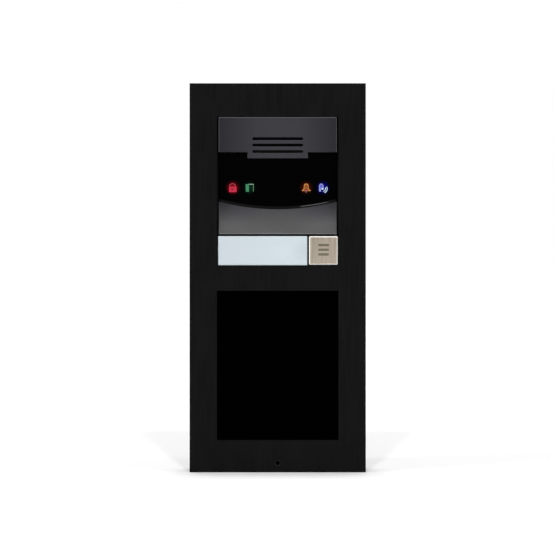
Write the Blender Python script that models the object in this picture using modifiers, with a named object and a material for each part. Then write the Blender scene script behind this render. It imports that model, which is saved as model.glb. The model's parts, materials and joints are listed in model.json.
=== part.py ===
"""Door intercom panel: a surface-mounted outdoor station with two modules in one frame.

The script works in millimetres and turns them into metres as it makes each mesh.
X runs to the right, Y from the street side back to the wall, and Z up.
Heights are measured from the panel's bottom edge, and an empty at that edge carries
every piece, so that the origin is the middle of the back face, on the wall.
"""

import math

import bmesh
import bpy
from mathutils import Vector

MM = 0.001
GAP = 0.3

# The whole panel
PANEL_W = 106.0
PANEL_H = 234.0
PANEL_D = 28.0
EDGE_ROUNDING = 0.6
FRONT = -PANEL_D

# Windows in the front frame, one for each module
WINDOW_W = 73.1
WINDOW_H = 89.8
READER_Z = 64.3
MODULE_PITCH = 104.8
MAIN_Z = READER_Z + MODULE_PITCH

# Layers of the panel, from the front face to the wall
FRAME_PLATE_REAR = -25.5
FRAME_SKIRT_REAR = -22.9
RIB_REAR = -23.2
FLANGE_FRONT = -21.6
FLANGE_REAR = -20.1
CARRIER_FRONT = -19.8
CARRIER_REAR = -18.0
CARRIER_INSET = 4.5
BOX_RIM = -21.6
BOX_FLOOR = -2.6
BOX_WALL = 2.5
SKIRT_WALL = 2.4

# Modules
FLANGE_HALF_W = 44.0
FLANGE_HALF_H = 49.0
HOUSING_HALF_W = 38.0
HOUSING_HALF_H = 46.0
HOUSING_WALL = 1.6
MAIN_HOUSING_REAR = -4.0
READER_HOUSING_REAR = -13.0
MODULE_SCREW_X = 41.0
MODULE_SCREW_DZ = 45.5
CARRIER_SCREW_X = 44.0
CARRIER_SCREW_Z = (8.5, PANEL_H - 8.5)

# Front of the main unit
HOOD_FRONT = -27.6
HOOD_HALF_W = 35.7
HOOD_TOP = 213.75
HOOD_BOTTOM = 192.2
HOOD_SKIN = 1.8
TAB_HALF_W = 18.4
TAB_BOTTOM = 188.9
TAB_THICKNESS = 1.5
SLOT_LENGTH = 30.5
SLOT_HEIGHT = 1.4
SLOT_Z = (200.7, 196.85, 193.0)
OPENING_HALF_W = 35.4
OPENING_Z = (150.0, 211.0)

# Smoked visor: a plate bent about a vertical axis, with an arched lower edge
VISOR_HALF_W = 35.7
VISOR_SIDE_Y = -23.4
VISOR_BULGE = 2.0
VISOR_SKIN = 1.5
VISOR_TOP = 191.9
ARCH_MIDDLE_Z = 158.5
ARCH_RISE = 4.7

# Chin: a hollow sweep from the arch out to a straight lip
CHIN_STEP_BACK = 0.5
CHIN_BOTTOM = 143.3
CHIN_LIP_Y = -27.2
CHIN_REAR = -20.3
CHIN_SWEEP = 1.7

# Nameplate, call button and the parts behind them
STRIP_Z = 133.45
STRIP_HALF_W = 36.15
NAMEPLATE_X = (-STRIP_HALF_W, 17.75)
NAMEPLATE_Z = (124.5, 142.3)
NAMEPLATE_FRONT = -27.4
NAMEPLATE_SKIN = 1.2
CLIP_HALF_H = 3.0
BUTTON_X = (18.9, STRIP_HALF_W)
BUTTON_Z = (124.8, 142.2)
BUTTON_FRONT = -27.6
BUTTON_REAR = -23.4
BUTTON_SKIN = 1.4
BUTTON_AXIS_X = 27.34
STEM_RADIUS = 2.0
STEM_END = -17.7
SWITCH_FRONT = -16.5
SWITCH_HALF_W = 3.1
PLUNGER_RADIUS = 1.6
PLUNGER_END = -15.3
BAR_LENGTH = 6.4
BAR_HEIGHT = 1.4
BAR_PITCH = 2.8
BAR_OFFSET = 0.3
BAR_DEPTH = 0.35
SPRING_RADIUS = 3.2
SPRING_WIRE = 0.25
SPRING_TURNS = 3.5

# Icons shown through the visor
ICON_Z = 171.1
ICON_HALF = 3.2
ICON_X = {"lock": -27.1, "door": -17.0, "bell": 17.2, "talk": 27.3}

# Plain reader face
READER_HALF_W = 36.2
READER_HALF_H = 44.55
READER_FRONT = -27.5
READER_SKIN = 1.6

# Camera, lamps, speaker, boards and connectors
CAMERA_Z = 176.0
SPEAKER_Z = 199.6
MICROPHONE_Z = 142.8
BOARD_FRONT = -12.6
BOARD_REAR = -11.0
BOARD_HALF_W = 35.6
BOARD_HALF_H = 43.6
JACK_X = (-26.0, -10.0)
JACK_Y = (-17.2, -6.2)
JACK_TOP = 140.0
JACK_WALL = 2.0
TERMINAL_X = (-5.0, 19.0)
TERMINAL_Y = (-15.5, -7.2)
TERMINAL_TOP = 134.0
TERMINAL_WAYS = 6
LINK_SOCKET_X = (26.5, 33.5)
UPPER_PLUG_Y = (-13.4, -9.2)
UPPER_PLUG_Z = (117.5, 127.5)
LOWER_PLUG_X = (10.0, 17.0)
LOWER_PLUG_Y = (-15.0, -9.2)
LOWER_PLUG_Z = (84.0, 92.0)
LEAD_RADIUS = 1.2

# Cable entry in the back
ENTRY_Z = 60.0
ENTRY_W = 34.0
ENTRY_H = 22.0
ENTRY_CORNER = 5.0
GROMMET_BORE = 4.2
WALL_SLOT_LENGTH = 9.0
WALL_SLOT_HEIGHT = 5.2
WALL_SLOT_X = 34.0
WALL_SLOT_Z = 38.0

GROMMET_LIP = 3.0
WEEP_HOLE_X = 26.0

# Screws, posts and hooks
SCREW_HOLE_RADIUS = 1.3
POST_RADIUS = 3.5
POST_ROOT = -1.5
POST_HOLE_END = -8.0
CARRIER_SCREW_HEAD = (2.4, 1.0)
MODULE_SCREW_HEAD = (2.0, 1.0)
SECURITY_SCREW_HEAD = (1.2, 1.7)
SHANK_RADIUS = 1.0
SECURITY_SCREW_Z = 5.5
SECURITY_POST_RADIUS = 3.6
SECURITY_POST_FRONT = -19.7
SECURITY_HOLE_RADIUS = 1.5
SECURITY_RECESS_RADIUS = 2.4
HOOK_X = 30.0
HOOK_HALF_W = 4.0
HOOK_ARM_Z = (PANEL_H - 8.5, PANEL_H - 7.0)
HOOK_NIB_Z = (PANEL_H - 7.6, PANEL_H - 4.0)
HOOK_ARM_END = -9.5
HOOK_NIB_Y = (-11.7, -9.7)
HOOK_LEDGE_Y = (-14.0, -12.2)
HOOK_LEDGE_DROP = 3.1
WINDOW_RIB = 1.6

# Rubber rings
SEAL_INSET = 0.8
SEAL_WIDTH = 1.4
GASKET_OUTSIDE = (38.3, 46.5)
GASKET_INSIDE = (36.9, 45.2)

for leftover in list(bpy.data.objects):
    bpy.data.objects.remove(leftover, do_unlink=True)

panel = bpy.data.collections.new("door_intercom_panel")
cutters = bpy.data.collections.new("cutters")
for group in (panel, cutters):
    bpy.context.scene.collection.children.link(group)

bottom_edge = bpy.data.objects.new("bottom_edge", None)
bottom_edge.location = (0, 0, -PANEL_H / 2 * MM)
panel.objects.link(bottom_edge)


# ---- materials ----

def make_material(name, colour, roughness, metallic=0.0):
    """A plain finish with its base colour, roughness and metallic value."""
    material = bpy.data.materials.new(name)
    material.use_nodes = True
    shader = material.node_tree.nodes["Principled BSDF"]
    shader.inputs["Base Color"].default_value = (*colour, 1)
    shader.inputs["Roughness"].default_value = roughness
    shader.inputs["Metallic"].default_value = metallic
    return material


black_paint = make_material("black_paint", (0.012, 0.012, 0.013), 0.55, 0.2)
anthracite = make_material("anthracite", (0.055, 0.052, 0.062), 0.42, 0.3)
smoked_gloss = make_material("smoked_gloss", (0.002, 0.002, 0.002), 0.05)
black_plastic = make_material("black_plastic", (0.02, 0.02, 0.021), 0.5)
seal_rubber = make_material("seal_rubber", (0.015, 0.015, 0.015), 0.8)
milky_plastic = make_material("milky_plastic", (0.68, 0.76, 0.82), 0.3)
white_card = make_material("white_card", (0.85, 0.86, 0.86), 0.8)
clear_guide = make_material("clear_guide", (0.75, 0.78, 0.8), 0.2)
brushed_nickel = make_material("brushed_nickel", (0.45, 0.40, 0.33), 0.35, 1.0)
bright_steel = make_material("bright_steel", (0.6, 0.6, 0.62), 0.3, 1.0)
zinc_steel = make_material("zinc_steel", (0.45, 0.45, 0.46), 0.4, 1.0)
board_green = make_material("board_green", (0.02, 0.11, 0.05), 0.45)
cone_paper = make_material("cone_paper", (0.05, 0.045, 0.04), 0.9)
lens_glass = make_material("lens_glass", (0.02, 0.02, 0.04), 0.03)
lamp_lens = make_material("lamp_lens", (0.08, 0.02, 0.05), 0.1)
terminal_green = make_material("terminal_green", (0.03, 0.22, 0.08), 0.5)
lead_grey = make_material("lead_grey", (0.2, 0.2, 0.21), 0.6)


# ---- shapes ----

def place(name, data, centre, material, rotation=(0, 0, 0)):
    """Put a piece in the panel, or a tool in the cutters when it has no material."""
    item = bpy.data.objects.new(name, data)
    item.location = Vector(centre) * MM
    item.rotation_euler = rotation
    item.parent = bottom_edge
    if material:
        data.materials.append(material)
        panel.objects.link(item)
    else:
        item.hide_render = True
        item.display_type = "WIRE"
        cutters.objects.link(item)
    return item


def mesh_from(name, shape):
    """Turn a bmesh into mesh data."""
    mesh = bpy.data.meshes.new(name)
    shape.to_mesh(mesh)
    shape.free()
    return mesh


def box(name, x, y, z, material=None):
    """A block between two x, two y and two z values."""
    shape = bmesh.new()
    bmesh.ops.create_cube(shape, size=1)
    size = [(high - low) * MM for low, high in (x, y, z)]
    bmesh.ops.scale(shape, vec=size, verts=shape.verts)
    centre = [(low + high) / 2 for low, high in (x, y, z)]
    return place(name, mesh_from(name, shape), centre, material)


def rod(name, x, z, y, radius, material=None, rear_radius=None, sides=12):
    """A cylinder along Y, or a cone when its rear radius differs."""
    shape = bmesh.new()
    bmesh.ops.create_cone(
        shape,
        cap_ends=True,
        segments=sides,
        radius1=radius * MM,
        radius2=(rear_radius or radius) * MM,
        depth=(y[1] - y[0]) * MM,
    )
    mesh = mesh_from(name, shape)
    item = place(name, mesh, (x, (y[0] + y[1]) / 2, z), material, (-math.pi / 2, 0, 0))
    smooth(item)
    return item


def smooth(item):
    """Shade the round faces smooth and keep the corners sharp."""
    item.data.shade_smooth()
    item.data.set_sharp_from_angle(angle=math.radians(35))


def turned(name, profile, x, z, rear, material=None, steps=12):
    """A profile of (radius, height above the rear) turned about an axis along Y."""
    mesh = bpy.data.meshes.new(name)
    points = [(radius * MM, 0, height * MM) for radius, height in profile]
    edges = [(i, i + 1) for i in range(len(points) - 1)]
    mesh.from_pydata(points, edges, [])
    item = place(name, mesh, (x, rear, z), material, (math.pi / 2, 0, 0))
    screw = item.modifiers.new("Turn", "SCREW")
    screw.steps = steps
    screw.render_steps = steps
    screw.use_merge_vertices = True
    screw.merge_threshold = 0.00001
    screw.use_smooth_shade = True
    return item


def flat_curve(name, points, thickness):
    """A closed outline, filled and given a thickness."""
    curve = bpy.data.curves.new(name, "CURVE")
    curve.dimensions = "2D"
    curve.fill_mode = "BOTH"
    curve.extrude = thickness / 2 * MM
    line = curve.splines.new("POLY")
    line.points.add(len(points) - 1)
    for point, (across, up) in zip(line.points, points):
        point.co = (across * MM, up * MM, 0, 1)
    line.use_cyclic_u = True
    return curve


def curve_to_mesh(name, curve, centre, rotation, material):
    """Place a curve, weld its caps and keep it as a mesh in the same place."""
    drawn = place(name + "_curve", curve, centre, None, rotation)
    bpy.context.view_layer.update()
    seen = drawn.evaluated_get(bpy.context.evaluated_depsgraph_get())
    mesh = bpy.data.meshes.new_from_object(seen)
    mesh.materials.clear()
    shape = bmesh.new()
    shape.from_mesh(mesh)
    bmesh.ops.remove_doubles(shape, verts=shape.verts, dist=0.00001)
    bmesh.ops.recalc_face_normals(shape, faces=shape.faces)
    shape.to_mesh(mesh)
    shape.free()
    item = place(name, mesh, centre, material, rotation)
    item.matrix_world = drawn.matrix_world
    bpy.data.objects.remove(drawn, do_unlink=True)
    return item


def sheet_cut(name, outline, y, material=None):
    """A flat piece with an outline of (x, z) points, between two y values."""
    curve = flat_curve(name, outline, y[1] - y[0])
    return curve_to_mesh(name, curve, (0, (y[0] + y[1]) / 2, 0), (math.pi / 2, 0, 0), material)


def upright_cut(name, outline, z, material=None):
    """An upright piece with an outline of (x, y) points, between two heights."""
    curve = flat_curve(name, outline, z[1] - z[0])
    return curve_to_mesh(name, curve, (0, 0, (z[0] + z[1]) / 2), (0, 0, 0), material)


def rounded_slot(x, z, length, height, steps=4):
    """An outline with two straight sides and two round ends, along x."""
    radius = height / 2
    reach = length / 2 - radius
    points = []
    for side, start in ((1, -math.pi / 2), (-1, math.pi / 2)):
        for i in range(steps + 1):
            angle = start + math.pi * i / steps
            points.append((
                x + side * reach + radius * math.cos(angle),
                z + radius * math.sin(angle),
            ))
    return points


def rounded_block(x, z, width, height, radius, steps=3):
    """A rectangle's outline with round corners."""
    points = []
    for quarter, (side, up) in enumerate(((1, 1), (-1, 1), (-1, -1), (1, -1))):
        for i in range(steps + 1):
            angle = math.pi / 2 * (quarter + i / steps)
            points.append((
                x + side * (width / 2 - radius) + radius * math.cos(angle),
                z + up * (height / 2 - radius) + radius * math.sin(angle),
            ))
    return points


def wire(name, points, radius, material, sides_detail=1):
    """A round wire through a row of points, with closed ends."""
    curve = bpy.data.curves.new(name, "CURVE")
    curve.dimensions = "3D"
    curve.bevel_depth = radius * MM
    curve.bevel_resolution = sides_detail
    curve.use_fill_caps = True
    line = curve.splines.new("POLY")
    line.points.add(len(points) - 1)
    for point, place_mm in zip(line.points, points):
        point.co = (*(Vector(place_mm) * MM), 1)
    return place(name, curve, (0, 0, 0), material)


def smooth_route(corners, steps=4):
    """Points on a smooth curve that passes through every corner."""
    ends = [corners[0], *corners, corners[-1]]
    route = []
    for before, start, stop, after in zip(ends, ends[1:], ends[2:], ends[3:]):
        for i in range(steps):
            t = i / steps
            route.append(tuple(
                0.5 * (2 * b + (c - a) * t + (2 * a - 5 * b + 4 * c - d) * t ** 2
                       + (3 * b - a - 3 * c + d) * t ** 3)
                for a, b, c, d in zip(before, start, stop, after)
            ))
    route.append(tuple(corners[-1]))
    return route


def change(item, tool, operation):
    """Add one exact Boolean to a piece."""
    step = item.modifiers.new(tool.name, "BOOLEAN")
    step.operation = operation
    step.solver = "EXACT"
    step.object = tool


def cut(item, *tools):
    """Take each tool's shape away from a piece."""
    for tool in tools:
        change(item, tool, "DIFFERENCE")


def join(item, *tools):
    """Add each tool's shape to a piece."""
    for tool in tools:
        change(item, tool, "UNION")


def around(centre, half):
    """The two ends of a span about its middle."""
    return (centre - half, centre + half)


def widened(span, clearance=0.4):
    """A span made longer at both ends."""
    return (span[0] - clearance, span[1] + clearance)


def round_edges(item, width=EDGE_ROUNDING):
    """Round a block's corners a little."""
    bevel = item.modifiers.new("Rounding", "BEVEL")
    bevel.width = width * MM
    bevel.segments = 2
    bevel.limit_method = "ANGLE"


def screw_piece(name, x, z, y, head, shank_radius):
    """A pan-head screw, from under its head to its tip, with a round socket in its head."""
    head_rear, tip = y
    head_radius, head_height = head
    socket_radius = head_radius * 0.42
    length = tip - head_rear
    top = length + head_height
    profile = [
        (0, top - head_height * 0.5),
        (socket_radius, top - head_height * 0.5),
        (socket_radius, top),
        (head_radius, top),
        (head_radius, length),
        (shank_radius, length),
        (shank_radius, 0),
        (0, 0),
    ]
    return turned(name, profile, x, z, tip, zinc_steel, steps=10)


# ---- mounting box and frame ----

def build_wall_box():
    """The shell that is screwed to the wall, with its screw posts and openings."""
    shell = box("wall_box", around(0, PANEL_W / 2), (BOX_RIM, 0), (0, PANEL_H), black_paint)
    round_edges(shell)
    cut(shell, box(
        "box_inside",
        around(0, PANEL_W / 2 - BOX_WALL),
        (BOX_RIM - 5, BOX_FLOOR),
        (BOX_WALL, PANEL_H - BOX_WALL),
    ))
    for x in (-CARRIER_SCREW_X, CARRIER_SCREW_X):
        for number, z in enumerate(CARRIER_SCREW_Z):
            tag = f"{number}_{'left' if x < 0 else 'right'}"
            post_y = (CARRIER_REAR + GAP, POST_ROOT)
            join(shell, rod(f"post_{tag}", x, z, post_y, POST_RADIUS))
            hole_y = (BOX_RIM, POST_HOLE_END)
            cut(shell, rod(f"post_hole_{tag}", x, z, hole_y, SCREW_HOLE_RADIUS, sides=8))
    post_y = (SECURITY_POST_FRONT, POST_ROOT)
    join(shell, rod("security_post", 0, SECURITY_SCREW_Z, post_y, SECURITY_POST_RADIUS))
    hole_y = (BOX_RIM, POST_HOLE_END - 1)
    cut(shell, rod("security_post_hole", 0, SECURITY_SCREW_Z, hole_y, SCREW_HOLE_RADIUS, sides=8))
    for x in (-HOOK_X, HOOK_X):
        ledge_z = (PANEL_H - BOX_WALL - HOOK_LEDGE_DROP, PANEL_H - BOX_WALL + 1)
        join(shell, box(f"hook_ledge_{x:.0f}", around(x, HOOK_HALF_W), HOOK_LEDGE_Y, ledge_z))
    back = (BOX_FLOOR - 3, 5)
    entry = rounded_block(0, ENTRY_Z, ENTRY_W, ENTRY_H, ENTRY_CORNER)
    cut(shell, sheet_cut("cable_entry", entry, back))
    for x in (-WALL_SLOT_X, WALL_SLOT_X):
        for z in (WALL_SLOT_Z, PANEL_H - WALL_SLOT_Z):
            slot = rounded_slot(x, z, WALL_SLOT_LENGTH, WALL_SLOT_HEIGHT)
            cut(shell, sheet_cut(f"wall_screw_slot_{x:.0f}_{z:.0f}", slot, back))
    for x in (-WEEP_HOLE_X, WEEP_HOLE_X):
        cut(shell, box(f"weep_hole_{x:.0f}", around(x, 2), (-16, -13), (-2, BOX_WALL + 2)))


def build_cable_grommet():
    """The rubber bush in the cable entry, with a tapered collar round its bore."""
    lip = 2 * GROMMET_LIP
    flange = rounded_block(0, ENTRY_Z, ENTRY_W + lip, ENTRY_H + lip, ENTRY_CORNER + 1)
    plug = rounded_block(0, ENTRY_Z, ENTRY_W - 2 * GAP, ENTRY_H - 2 * GAP, ENTRY_CORNER)
    grommet = sheet_cut("cable_grommet", flange, (-4.3, BOX_FLOOR - GAP), seal_rubber)
    join(grommet, sheet_cut("grommet_plug", plug, (-3.6, -0.9)))
    join(grommet, rod("grommet_collar", 0, ENTRY_Z, (-9, -3.8), 5.4, rear_radius=8))
    cut(grommet, rod("grommet_bore", 0, ENTRY_Z, (FRONT, 5), GROMMET_BORE))


def build_front_frame():
    """The metal front with two windows, its skirt, window ribs and top hooks."""
    frame = box(
        "front_frame",
        around(0, PANEL_W / 2),
        (FRONT, FRAME_SKIRT_REAR),
        (0, PANEL_H),
        black_paint,
    )
    round_edges(frame)
    cut(frame, box(
        "frame_inside",
        around(0, PANEL_W / 2 - SKIRT_WALL),
        (FRAME_PLATE_REAR, BOX_RIM + 2),
        (SKIRT_WALL, PANEL_H - SKIRT_WALL),
    ))
    for name, z in (("main", MAIN_Z), ("reader", READER_Z)):
        join(frame, box(
            f"{name}_window_rib",
            around(0, WINDOW_W / 2 + WINDOW_RIB),
            (FRAME_PLATE_REAR - 0.5, RIB_REAR),
            around(z, WINDOW_H / 2 + WINDOW_RIB),
        ))
        cut(frame, box(
            f"{name}_window",
            around(0, WINDOW_W / 2),
            (FRONT - 2, RIB_REAR + 2),
            around(z, WINDOW_H / 2),
        ))
    for x in (-HOOK_X, HOOK_X):
        hook_x = around(x, HOOK_HALF_W)
        arm_y = (FRAME_PLATE_REAR - 1, HOOK_ARM_END)
        join(frame, box(f"hook_arm_{x:.0f}", hook_x, arm_y, HOOK_ARM_Z))
        join(frame, box(f"hook_nib_{x:.0f}", hook_x, HOOK_NIB_Y, HOOK_NIB_Z))
    through = (FRONT - 2, FRAME_SKIRT_REAR + 3)
    cut(frame, rod("security_hole", 0, SECURITY_SCREW_Z, through, SECURITY_HOLE_RADIUS))
    cut(frame, rod(
        "security_countersink",
        0,
        SECURITY_SCREW_Z,
        (FRONT - 0.4, FRONT + 0.5),
        SECURITY_RECESS_RADIUS,
        rear_radius=SECURITY_HOLE_RADIUS - 0.05,
    ))


def build_frame_seal():
    """The rubber ring between the frame's skirt and the box's rim."""
    y = (FRAME_SKIRT_REAR + GAP, BOX_RIM - GAP)
    seal = box(
        "frame_seal",
        around(0, PANEL_W / 2 - SEAL_INSET),
        y,
        (SEAL_INSET, PANEL_H - SEAL_INSET),
        seal_rubber,
    )
    inner = SEAL_INSET + SEAL_WIDTH
    cut(seal, box(
        "frame_seal_inside",
        around(0, PANEL_W / 2 - inner),
        (y[0] - 2, y[1] + 2),
        (inner, PANEL_H - inner),
    ))


def build_module_carrier():
    """The steel plate that holds both modules, cut out round their housings."""
    carrier = box(
        "module_carrier",
        around(0, PANEL_W / 2 - CARRIER_INSET),
        (CARRIER_FRONT, CARRIER_REAR),
        (CARRIER_INSET, PANEL_H - CARRIER_INSET),
        zinc_steel,
    )
    through = (CARRIER_FRONT - 3, CARRIER_REAR + 3)
    clearance = 0.5
    for name, z in (("main", MAIN_Z), ("reader", READER_Z)):
        cut(carrier, box(
            f"{name}_bay",
            around(0, HOUSING_HALF_W + clearance),
            through,
            around(z, HOUSING_HALF_H + clearance),
        ))
        for x in (-MODULE_SCREW_X, MODULE_SCREW_X):
            for dz in (-MODULE_SCREW_DZ, MODULE_SCREW_DZ):
                hole = f"carrier_{name}_hole_{x:.0f}_{dz:.0f}"
                cut(carrier, rod(hole, x, z + dz, through, SCREW_HOLE_RADIUS, sides=8))
    for x in (-CARRIER_SCREW_X, CARRIER_SCREW_X):
        for z in CARRIER_SCREW_Z:
            hole = f"carrier_hole_{x:.0f}_{z:.0f}"
            cut(carrier, rod(hole, x, z, through, SCREW_HOLE_RADIUS, sides=8))
    for x in (-HOOK_X, HOOK_X):
        notch_x = around(x, HOOK_HALF_W + 1.5)
        cut(carrier, box(f"hook_notch_{x:.0f}", notch_x, through, (PANEL_H - 10, PANEL_H)))
    security_z = around(SECURITY_SCREW_Z, SECURITY_POST_RADIUS + 1.4)
    cut(carrier, box("security_notch", around(0, SECURITY_POST_RADIUS + 1.4), through, security_z))


def build_frame_screws():
    """The carrier's four screws and the security screw at the bottom of the frame."""
    for side, x in (("left", -CARRIER_SCREW_X), ("right", CARRIER_SCREW_X)):
        for end, z in zip(("bottom", "top"), CARRIER_SCREW_Z):
            name = f"carrier_screw_{end}_{side}"
            screw_piece(name, x, z, (CARRIER_FRONT - GAP, -11), CARRIER_SCREW_HEAD, SHANK_RADIUS)
    security_y = (-25.2, -13)
    screw_piece("security_screw", 0, SECURITY_SCREW_Z, security_y, SECURITY_SCREW_HEAD, 0.9)


def build_module_screws(module, centre_z):
    """Four screws that hold a module's flange to the carrier."""
    for side, x in (("left", -MODULE_SCREW_X), ("right", MODULE_SCREW_X)):
        for end, dz in (("bottom", -MODULE_SCREW_DZ), ("top", MODULE_SCREW_DZ)):
            name = f"{module}_screw_{end}_{side}"
            y = (FLANGE_FRONT - GAP, -17)
            screw_piece(name, x, centre_z + dz, y, MODULE_SCREW_HEAD, SHANK_RADIUS)


def build_module_gasket(name, centre_z):
    """A rubber ring between a window's rib and the module's flange."""
    y = (RIB_REAR + GAP, FLANGE_FRONT - GAP)
    half_w, half_h = GASKET_OUTSIDE
    ring = box(name, around(0, half_w), y, around(centre_z, half_h), seal_rubber)
    half_w, half_h = GASKET_INSIDE
    inside_y = (y[0] - 2, y[1] + 2)
    cut(ring, box(f"{name}_inside", around(0, half_w), inside_y, around(centre_z, half_h)))


# ---- main unit ----

def arch_z(x):
    """Height of the visor's arched lower edge at x."""
    return ARCH_MIDDLE_Z + ARCH_RISE * (x / HOOD_HALF_W) ** 2


def visor_y(x):
    """Depth of the visor's front face at x."""
    return VISOR_SIDE_Y - VISOR_BULGE * (1 - (x / VISOR_HALF_W) ** 2)


def chin_block(columns=14, rows=4):
    """The chin's solid: a loft from the arch to the straight lip, with a flat back."""
    shape = bmesh.new()

    def point(x, y, z):
        return shape.verts.new(Vector((x, y, z)) * MM)

    front, back_top, back_bottom = [], [], []
    for i in range(columns + 1):
        x = HOOD_HALF_W * (2 * i / columns - 1)
        top_z = arch_z(x) - GAP
        top_y = visor_y(x) + CHIN_STEP_BACK
        column = []
        for j in range(rows + 1):
            t = j / rows
            y = top_y + (CHIN_LIP_Y - top_y) * t ** CHIN_SWEEP
            column.append(point(x, y, top_z + (CHIN_BOTTOM - top_z) * t))
        front.append(column)
        back_top.append(point(x, CHIN_REAR, top_z))
        back_bottom.append(point(x, CHIN_REAR, CHIN_BOTTOM))
    for i in range(columns):
        for j in range(rows):
            shape.faces.new((front[i][j], front[i][j + 1], front[i + 1][j + 1], front[i + 1][j]))
        shape.faces.new((front[i][0], front[i + 1][0], back_top[i + 1], back_top[i]))
        shape.faces.new((front[i + 1][-1], front[i][-1], back_bottom[i], back_bottom[i + 1]))
        shape.faces.new((back_top[i], back_top[i + 1], back_bottom[i + 1], back_bottom[i]))
    shape.faces.new((*front[0], back_bottom[0], back_top[0]))
    shape.faces.new((*reversed(front[-1]), back_top[-1], back_bottom[-1]))
    bmesh.ops.recalc_face_normals(shape, faces=shape.faces)
    return place("chin", mesh_from("chin", shape), (0, 0, 0), None)


def build_main_unit_bezel():
    """The anthracite casting: flange, speaker hood with its tab, and the chin."""
    bezel = box(
        "main_unit_bezel",
        around(0, FLANGE_HALF_W),
        (FLANGE_FRONT, FLANGE_REAR),
        around(MAIN_Z, FLANGE_HALF_H),
        anthracite,
    )
    through = (FRONT - 2, FLANGE_REAR + 3)
    cut(bezel, box("visor_opening", around(0, OPENING_HALF_W), through, OPENING_Z))
    hood_rear = FLANGE_REAR - 0.8
    hood_z = (HOOD_BOTTOM, HOOD_TOP)
    join(bezel, box("hood", around(0, HOOD_HALF_W), (HOOD_FRONT, hood_rear), hood_z))
    tab_y = (HOOD_FRONT, HOOD_FRONT + TAB_THICKNESS)
    join(bezel, box("hood_tab", around(0, TAB_HALF_W), tab_y, (TAB_BOTTOM, HOOD_BOTTOM + 1)))
    join(bezel, chin_block())
    inside_front = HOOD_FRONT + HOOD_SKIN
    cut(bezel, box(
        "hood_inside",
        around(0, HOOD_HALF_W - HOOD_SKIN),
        (inside_front, FLANGE_REAR + 3),
        (HOOD_BOTTOM + HOOD_SKIN, HOOD_TOP - HOOD_SKIN - 1.2),
    ))
    cut(bezel, box(
        "slot_relief",
        around(0, SLOT_LENGTH / 2 + 0.75),
        (inside_front, FLANGE_REAR + 3),
        (VISOR_TOP + GAP, HOOD_BOTTOM + 4),
    ))
    for number, z in enumerate(SLOT_Z):
        slot = rounded_slot(0, z, SLOT_LENGTH, SLOT_HEIGHT)
        cut(bezel, sheet_cut(f"speaker_slot_{number}", slot, (FRONT - 2, inside_front + 1)))
    cut_tray_openings(bezel, through)


def cut_tray_openings(bezel, through):
    """The holes in the flange behind the nameplate and the call button."""
    clip_z = around(STRIP_Z, CLIP_HALF_H + 0.4)
    for side, x in zip(("left", "right"), NAMEPLATE_X):
        inward = NAMEPLATE_SKIN if side == "left" else -NAMEPLATE_SKIN
        span = sorted((x, x + inward))
        cut(bezel, box(f"clip_slot_{side}", (span[0] - 0.35, span[1] + 0.35), through, clip_z))
    cut(bezel, box("backlight_slot", (-28, 10), through, around(STRIP_Z, 2.5)))
    cut(bezel, rod("stem_guide", BUTTON_AXIS_X, STRIP_Z, through, STEM_RADIUS + 0.5))
    cut(bezel, rod("microphone_port", 0, MICROPHONE_Z, through, 0.45, sides=8))
    for x in (-MODULE_SCREW_X, MODULE_SCREW_X):
        for dz in (-MODULE_SCREW_DZ, MODULE_SCREW_DZ):
            hole = f"main_flange_hole_{x:.0f}_{dz:.0f}"
            cut(bezel, rod(hole, x, MAIN_Z + dz, through, SCREW_HOLE_RADIUS, sides=8))


def build_camera_visor(columns=14):
    """The smoked window over the camera, bent about a vertical axis."""
    xs = [VISOR_HALF_W * (2 * i / columns - 1) for i in range(columns + 1)]
    outline = [(x, visor_y(x)) for x in xs]
    outline += [(x, visor_y(x) + VISOR_SKIN) for x in reversed(xs)]
    visor = upright_cut("camera_visor", outline, (ARCH_MIDDLE_Z - 4, VISOR_TOP), smoked_gloss)
    reach = VISOR_HALF_W + 3
    below = [(-reach, ARCH_MIDDLE_Z - 10), (reach, ARCH_MIDDLE_Z - 10)]
    for i in range(columns + 1):
        x = reach * (1 - 2 * i / columns)
        below.append((x, arch_z(x)))
    cut(visor, sheet_cut("below_arch", below, (FRONT - 2, -15)))


def open_box(name, centre_z, rear, material):
    """A module's rear housing: a box open towards its flange."""
    front = FLANGE_REAR + GAP
    housing = box(
        name, around(0, HOUSING_HALF_W), (front, rear), around(centre_z, HOUSING_HALF_H), material,
    )
    cut(housing, box(
        f"{name}_inside",
        around(0, HOUSING_HALF_W - HOUSING_WALL),
        (front - 3, rear - HOUSING_WALL),
        around(centre_z, HOUSING_HALF_H - HOUSING_WALL),
    ))
    return housing


def build_main_rear_housing():
    """The main unit's back, with cut-outs in its lower wall for the connectors."""
    housing = open_box("main_unit_rear_housing", MAIN_Z, MAIN_HOUSING_REAR, black_plastic)
    wall = (MAIN_Z - HOUSING_HALF_H - 3, MAIN_Z - HOUSING_HALF_H + 3)
    cut(housing, box("jack_cutout", widened(JACK_X), widened(JACK_Y), wall))
    cut(housing, box("terminal_cutout", widened(TERMINAL_X), widened(TERMINAL_Y), wall))
    cut(housing, box("link_cutout", widened(LINK_SOCKET_X), widened(UPPER_PLUG_Y), wall))


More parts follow.
